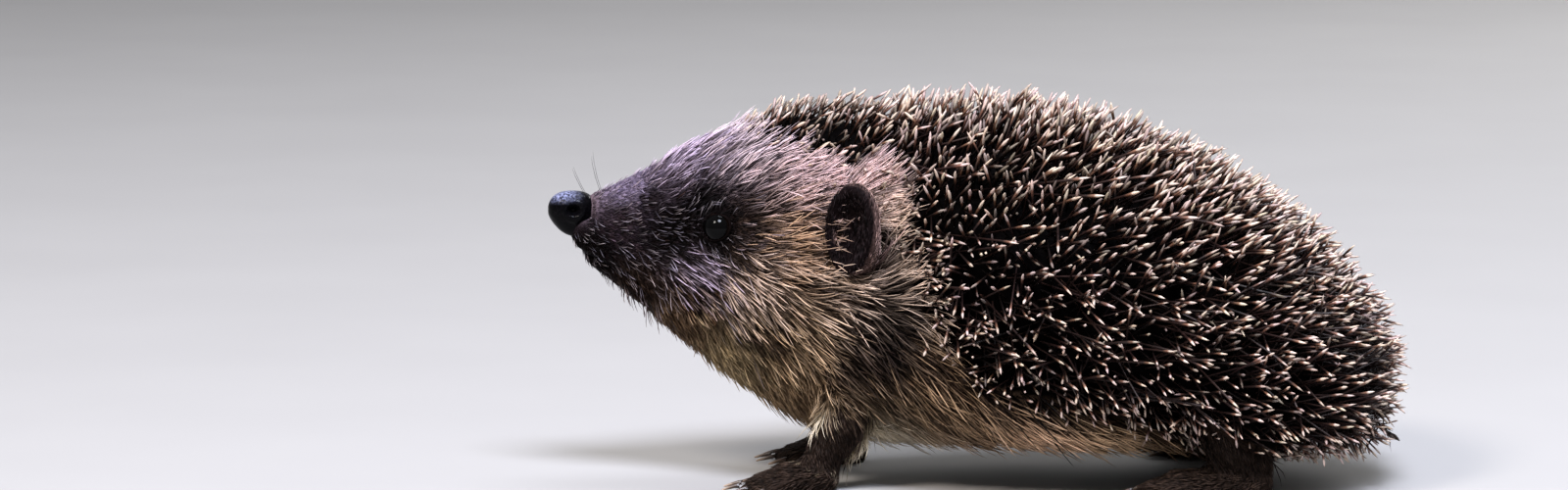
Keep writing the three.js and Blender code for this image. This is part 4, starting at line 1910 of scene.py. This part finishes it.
PATCHY_FUR = {"split": True, "stray": 0.18, "pull": 0.6, "patchy": 0.6, "drift": 3.0}
PATCHY_FACE = {"hues": 0.4, "patchy": 0.6, "drift": 4.0}
FUR = (
    FurBed(
        Bed.MUZZLE, "face", 14000, 0.19, FINE_HAIR, lock=1.3, pull=0.3, stray=0.2, fleck=3.0,
        tones=(0, 1.0), hues=1,
    ),
    FurBed(
        Bed.FACE, "face", 14000, 0.26, split=True, lock=1.9, pull=0.62, stray=0.16, fleck=1.6,
        tones=(0, 0.6), **PATCHY_FACE,
    ),
    FurBed(
        Bed.CROWN, "face", 4200, 0.28, stand=(0.3, 1.2), lock=2.2, pull=0.6, stray=0.18,
        tones=(0, 0.5), **PATCHY_FACE,
    ),
    FurBed(Bed.THROAT, "throat", 9000, 0.25, lock=2.2, pull=0.4, stray=0.2, tones=(0.1, 1.0)),
    FurBed(Bed.NECK, "fur", 8000, 0.3, lock=2.4, fleck=2.0, tones=(0, 0.6), **PATCHY_FUR),
    FurBed(Bed.FLANK, "fur", 8500, 0.32, lock=2.6, fleck=2.2, tones=(0, 0.5), **PATCHY_FUR),
    FurBed(Bed.BELLY, "throat", 3600, 0.36, lock=3.2, pull=0.5, stray=0.16),
    FurBed(Bed.LEGS, "leg", 11000, 0.24, FINE_HAIR, lock=1.4, pull=0.3, stray=0.16, length=3.4, depth=1.0),
    FurBed(Bed.EARS, "ear", 3400, 0.19, FINE_HAIR, lock=1.4, pull=0.25, stray=0.2, length=3.2, depth=0.7),
)
GUARD_FACE = {"hues": 0.4, "drift": 5.0}
GUARD_BODY = {"stand": (0.7, 1.4), "lock": 2.0, "pull": 0.5, "hues": 0.2, "patchy": 0.5, "drift": 3.0}
GUARD_HAIRS = (
    FurBed(
        Bed.FRINGE, "face", 240, 0.36, LONG_HAIR, pull=0.3, stray=0.24, tones=(1.2, 2.4), longer=0.9,
        over=9.0,
    ),
    FurBed(
        Bed.MUZZLE, "face", 900, 0.22, LONG_HAIR, stand=(0.9, 3.2), stray=0.3, fleck=2.2,
        tones=(0.2, 1.5), frost=0.42, hues=1, longer=1.4,
    ),
    FurBed(
        Bed.FACE, "face", 2600, 0.34, LONG_HAIR, stand=(0.7, 1.7), lock=1.6, pull=0.4, stray=0.18,
        tones=(0.6, 2.1), patchy=0.6, longer=1.35, **GUARD_FACE,
    ),
    FurBed(
        Bed.CROWN, "face", 1500, 0.42, LONG_HAIR, stand=(0.8, 1.6), lock=2.0, pull=0.5, stray=0.22,
        tones=(0.5, 2.3), patchy=0.5, longer=1.25, **GUARD_FACE,
    ),
    FurBed(
        Bed.THROAT, "throat", 1600, 0.3, LONG_HAIR, stand=(0.6, 1.3), pull=0.3, stray=0.26, tones=(0.6, 1.3),
        longer=1.2,
    ),
    FurBed(Bed.NECK, "fur", 1400, 0.4, LONG_HAIR, stray=0.22, tones=(0.5, 2.1), longer=1.3, **GUARD_BODY),
    FurBed(Bed.FLANK, "fur", 1500, 0.42, LONG_HAIR, stray=0.18, tones=(0.6, 2.4), longer=1.45, **GUARD_BODY),
)


@dataclass
class Pelt:
    """The whole fur, bed by bed, combed over the skin."""

    skin: Skin
    frost: str = "cdc4cb"
    brightest: float = 0.8
    cool: tuple[float, float, float] = (0.9, 0.92, 1.1)
    warm: tuple[float, float, float] = (1.12, 1.02, 0.85)
    owners: dict = field(default_factory=dict)

    def __post_init__(self) -> None:
        """Shares the skin out among the beds."""
        points = self.skin.surface.points
        parts = self.skin.parts
        shares = COAT.shares_at(points)
        limb = eased(np.maximum.reduce([parts["limb"], parts["foot"], parts["tail"]]), 0.25, 0.6)
        ear = eased(parts["ear"], 0.3, 0.6)
        bare = 1 - eased(parts["spiny"], 0.38, 0.62)
        bare *= ~self.skin.nose.holds(points, 0.02)
        for eye in self.skin.eyes:
            height, rho, _ = eye.split(points)
            bare *= (height < 0) | (rho > eye.opening + 0.3 * MM) | (np.sign(points[:, 0]) != eye.side)
        bare *= eased(points[:, 2], 0.4 * MM, 1.6 * MM)
        for bed in Bed:
            self.owners[bed] = COAT.bed_share(bed, shares) * (1 - limb) * (1 - ear) * bare
        self.thinned = 1 - 0.92 * eased(parts["verge"], 0.1, 0.35)
        self.owners[Bed.LEGS] = limb * bare
        self.owners[Bed.EARS] = ear * blend(1.0, 0.35, parts["bowl"])
        ear_front, _ = box_of("ear_left")
        back, up = ((points - ear_front) / MM).T[1:]
        zone = eased(back, -13, -9) * (1 - eased(back, -1.5, 1))
        zone *= eased(up, -5, 0) * (1 - eased(up, 18, 26)) * eased(np.abs(points[:, 0]), 15 * MM, 20 * MM)
        self.owners[Bed.FRINGE] = zone * (1 - ear) * bare

    def heading(self, points: Array, normals: Array, parts: dict[str, Array]) -> Array:
        """Finds which way the hair lies.

        Args:
            points: Places on the skin.
            normals: The skin's normals there.
            parts: The share of each part there.

        Returns:
            Unit vectors along the skin.
        """
        lie = COAT.traits_at(points)["lie"]
        side = np.sign(points[:, 0])
        high = eased(points[:, 2], 70 * MM, 95 * MM)
        way = np.stack([0.18 * side * high, lie[:, 0], lie[:, 1]], 1)
        tip = np.array([0, -112, 67]) * MM
        radial = unit((points - tip) * [1, 0.3, 1])
        facing = eased(-normals[:, 1], 0.35, 0.85)[:, None]
        way = way + radial * facing * 1.2
        for eye in self.skin.eyes:
            away = points - eye.centre
            away = away - eye.outward * (away @ eye.outward)[:, None]
            far = np.linalg.norm(away, axis=1, keepdims=True)
            close = (1 - eased(far, 3 * MM, 9 * MM)) * (side == eye.side)[:, None]
            way = way + away / np.maximum(far, 1e-6) * close * 1.1
        for part, low, high, towards in (
            ("limb", 0.2, 0.7, (0, 0.25, -1.0)),
            ("foot", 0.3, 0.7, (0, -1.0, -0.25)),
            ("tail", 0.2, 0.6, (0, 1.0, -0.4)),
            ("ear", 0.3, 0.7, (0, 0.2, 1.0)),
        ):
            way = blend(way, np.array(towards), eased(parts[part], low, high)[:, None])
        return flattened(way, normals)

    def comb(self, bed: FurBed, roots: Roots, rng: np.random.Generator) -> Strands:
        """Grows a strand from each root along the lie of the coat.

        Args:
            bed: The bed's plan.
            roots: The roots.
            rng: The source of chance.

        Returns:
            The strands.
        """
        count = len(roots.points)
        traits = COAT.traits_at(roots.points)
        length = traits["length"] if bed.length is None else np.full(count, bed.length * MM)
        length = length * rng.uniform(0.65, 1.15, count) * bed.longer
        room = roots.parts["depth"] if bed.length is None else np.full(count, bed.depth * MM)
        lock, shared = self.locks(roots.points, bed.lock * MM, rng)
        chance = blend(rng.random(count), shared[:, 0], 0.5)
        stand = np.minimum(room, 0.6 * length) * blend(*bed.stand, chance)
        swerve = (rng.normal(size=(count, 3)) + 1.6 * shared[:, 1:] - 0.8) * bed.stray
        points, normals = roots.points, roots.normals
        paths = [points - normals * 0.25 * MM]
        for rise in (0.42, 0.82, 1.0):
            way = flattened(self.heading(points, normals, roots.parts) + swerve, normals)
            points, normals = self.skin.nearest(points + way * (length / 3)[:, None], not bed.over)
            paths.append(points + normals * (stand * rise)[:, None])
        paths = np.stack(paths, 1)
        outward = np.sign(roots.points[:, 0]) * bed.over * MM
        paths[:, 2, 0] += outward * 0.6 * rng.uniform(0.5, 1.1, count)
        paths[:, 3, 0] += outward * rng.uniform(0.5, 1.1, count)
        paths[:, 3] += rng.normal(size=(count, 3)) * (length * 0.05)[:, None]
        drift = (shared[:, 1:] - 0.5) * 2 * bed.drift * MM
        deep, light = (
            colour * (1 + bed.patchy * (2 * shared[:, 1:2] - 1))
            for colour in self.skin.colours_at(roots.points + drift, roots.parts)
        )
        shine = blend(*bed.tones, blend(rng.random((count, 1)), shared[:, :1], 0.45) ** bed.fleck)
        warmth = blend(rng.random((count, 1)), shared[:, 3:], 0.6)
        hue = blend(np.array(self.cool), np.array(self.warm), warmth)
        light = blend(light, np.array(rgb(self.frost)), bed.frost)
        light = blend(deep, light * blend(1.0, hue, bed.hues), shine)
        light /= np.maximum(light.max(1, keepdims=True) / self.brightest, 1)
        deep = blend(deep * rng.uniform(0.25, 0.85, (count, 1)), light, 0.3 * bed.tones[0])
        thick = bed.thick * MM * rng.uniform(0.75, 1.2, count)
        strands = Strands(bed.form, paths, thick, deep, light, roots.points)
        return strands.clumped(lock, bed.pull)

    def locks(self, points: Array, size: float, rng: np.random.Generator) -> tuple[Array, Array]:
        """Gathers neighbouring roots into locks.

        Args:
            points: The roots.
            size: How wide a lock is.
            rng: The source of chance.

        Returns:
            Each root's lock, and four numbers from 0 to 1 that its lock shares.
        """
        keys = np.floor((points + rng.normal(size=points.shape) * size * 0.15) / size).astype(np.int64)
        _, lock = np.unique(keys @ [1, 1009, 1009 * 1013], return_inverse=True)
        return lock, rng.random((lock.max() + 1, 4))[lock]

    def build(self, groups: Groups, finish: HairFinish) -> list[bpy.types.Object]:
        """Builds every bed of fur.

        Args:
            groups: The shared node groups.
            finish: The fur's finish.

        Returns:
            The pieces.
        """
        pieces = []
        material = finish.build(groups)
        plans = [("fur", bed) for bed in FUR] + [("guard_hairs", bed) for bed in GUARD_HAIRS]
        for index, (word, bed) in enumerate(plans):
            rng = np.random.default_rng(100 + index)
            weight = self.owners[bed.bed] * (self.thinned if bed.tones[0] < 0.5 else 1)
            roots = self.skin.scatter(weight, bed.count, rng)
            strands = self.comb(bed, roots, rng)
            label = f"{word}_{bed.bed.name.lower()}"
            kind = Unwrap.LIMBS if bed.bed in (Bed.LEGS, Bed.EARS) else Unwrap.BODY
            sides = SIDES if bed.split else {"": 0}
            for side, sign in sides.items():
                part = strands.kept(np.sign(roots.points[:, 0]) == sign) if sign else strands
                mesh = part.mesh(f"{label}_{side}".rstrip("_"), kind)
                pieces.append(placed(mesh.name, mesh, material))
        return pieces


@dataclass
class Whiskers:
    """A few fine dark whiskers on the muzzle and the jaw."""

    skin: Skin
    thick: float = 0.13 * MM
    seats: tuple = (
        ((3.5, -97, 76), (0.25, -0.45, 1.0), 13),
        ((3.0, -101, 75), (0.1, -0.55, 0.8), 11),
        ((7.0, -93, 70), (0.9, -0.1, 0.45), 12),
        ((8.0, -90, 66), (1.0, 0.15, 0.1), 14),
        ((8.0, -92, 62), (0.95, 0.1, -0.2), 12),
        ((8.0, -87, 63), (0.9, 0.4, -0.1), 13),
        ((5.5, -84, 47), (0.35, 0.2, -0.9), 7),
        ((6.5, -80, 43), (0.4, 0.35, -0.9), 8),
    )

    def build(self, groups: Groups, finish: PlainFinish) -> bpy.types.Object:
        """Builds the whiskers of both sides as one piece.

        Args:
            groups: The shared node groups.
            finish: Their finish.

        Returns:
            The piece.
        """
        rows = []
        for spot, way, length in self.seats:
            for side in SIDES.values():
                turned = np.array([side, 1, 1])
                root, _ = self.skin.nearest(np.array([spot]) * turned * MM)
                heading = unit(np.array(way) * turned)
                droop = np.array([0.05 * side, 0.22, -0.1])
                steps = [0.0, 0.33, 0.67, 1.0]
                rows.append([root[0] + (heading * t + droop * t * t) * length * MM for t in steps])
        paths = np.array(rows)
        count = len(paths)
        dark = np.tile(rgb("0c0908"), (count, 1))
        strands = Strands(LONG_HAIR, paths, np.full(count, self.thick), dark, dark, paths[:, 0])
        return placed("whiskers", strands.mesh("whiskers", Unwrap.BODY), finish.build(groups))


# ---------------------------------------------------------------- the studio
@dataclass(frozen=True)
class SoftLight:
    """A round light: its place and width in metres, its power in watts and its colour."""

    name: str
    at: tuple[float, float, float]
    size: float
    power: float
    colour: str


LIGHTS = (
    SoftLight("key", (1.1, -1.0, 1.5), 0.55, 40, "fff6ee"),
    SoftLight("catch light", (0.8, 0.1, 1.35), 0.55, 52, "e6ecff"),
    SoftLight("crown light", (-0.4, 0.2, 1.7), 0.8, 18, "eef2ff"),
    SoftLight("back fill", (-1.4, 1.0, 0.7), 1.0, 18, "ffffff"),
)


@dataclass
class Studio:
    """A pale floor, soft lights and the camera, low on the animal's left.

    Attributes:
        target: What the camera looks at, in millimetres.
        distance: How far away it stands, in metres.
        lens: Its focal length in millimetres.
        elevation: How far it looks down, in degrees.
        lit_at: What the lights point at, in metres.
        room: The colour of the room.
        room_light: How bright the room is.
        floor_reach: How far the floor reaches, in metres.
    """

    target: tuple[float, float, float] = (0, -49.3, 59.5)
    distance: float = 1.5
    lens: float = 135.0
    elevation: float = 7.0
    lit_at: tuple[float, float, float] = (0, 0, 0.05)
    room: str = "e9ebee"
    room_light: float = 0.38
    floor_reach: float = 6

    def light(self, plan: SoftLight) -> None:
        """Adds a light aimed at the animal.

        Args:
            plan: The light's plan.
        """
        lamp = bpy.data.lights.new(plan.name, "AREA")
        lamp.shape = "DISK"
        lamp.size = plan.size
        lamp.energy = plan.power
        lamp.color = rgb(plan.colour)
        aim = Vector(self.lit_at) - Vector(plan.at)
        self.stand(lamp, Vector(plan.at), aim)

    def stand(self, held: bpy.types.ID, spot: Vector, aim: Vector) -> bpy.types.Object:
        """Stands a light or a camera at a spot and aims it.

        Args:
            held: The light or camera.
            spot: Where it stands.
            aim: Which way it looks.

        Returns:
            The new object.
        """
        holder = bpy.data.objects.new(held.name, held)
        bpy.context.scene.collection.objects.link(holder)
        holder.matrix_world = Matrix.Translation(spot) @ aim.to_track_quat("-Z", "Y").to_matrix().to_4x4()
        return holder

    def build(self, groups: Groups, finish: PlainFinish) -> None:
        """Builds the studio.

        Args:
            groups: The shared node groups.
            finish: The floor's finish.
        """
        bm = bmesh.new()
        bmesh.ops.create_circle(bm, cap_ends=True, segments=96, radius=self.floor_reach)
        mesh = mesh_of("floor", bm)
        mesh.materials.append(finish.build(groups))
        floor = bpy.data.objects.new("floor", mesh)
        bpy.context.scene.collection.objects.link(floor)
        world = bpy.data.worlds.new("soft room")
        bpy.context.scene.world = world
        world.use_nodes = True
        room = world.node_tree.nodes["Background"]
        room.inputs[0].default_value = (*rgb(self.room), 1)
        room.inputs[1].default_value = self.room_light
        for plan in LIGHTS:
            self.light(plan)
        camera = bpy.data.cameras.new("camera")
        camera.lens = self.lens
        camera.sensor_width = 36
        camera.clip_start, camera.clip_end = 0.05, 30
        rise = math.radians(self.elevation)
        out = Vector((math.cos(rise), 0, math.sin(rise)))
        spot = Vector(self.target) * MM + out * self.distance
        bpy.context.scene.camera = self.stand(camera, spot, -out)
        bpy.context.scene.view_settings.view_transform = "Standard"


def main() -> None:
    """Builds the hedgehog and the studio, piece by piece."""
    logging.basicConfig(level=logging.INFO, format="%(name)s: %(message)s")
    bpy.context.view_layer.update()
    groups = Groups()
    Studio().build(groups, PlainFinish("floor", roughness=0.75, specular=0.2))
    eyes = [Eye(side) for side in SIDES.values()]
    nose = Nose()
    skin = Skin(eyes, nose)
    skin.build(groups, SkinFinish("skin", specular=0.008))
    for eye in eyes:
        eye.build(groups, EyeFinish("eye", roughness=0.05, specular=0.08))
    nose.build(groups, NoseFinish("nose leather", roughness=0.2, specular=0.055))
    Claws().build(groups, ClawFinish("claw horn", roughness=0.35))
    Spines(skin).build(groups, SpineFinish("spine horn", roughness=0.5, specular=0.25))
    Pelt(skin).build(groups, HairFinish("fur", specular=0.07))
    Whiskers(skin).build(groups, PlainFinish("whisker", roughness=0.35, colour="141010", mottle=900.0))


if __name__ == "__main__":
    main()
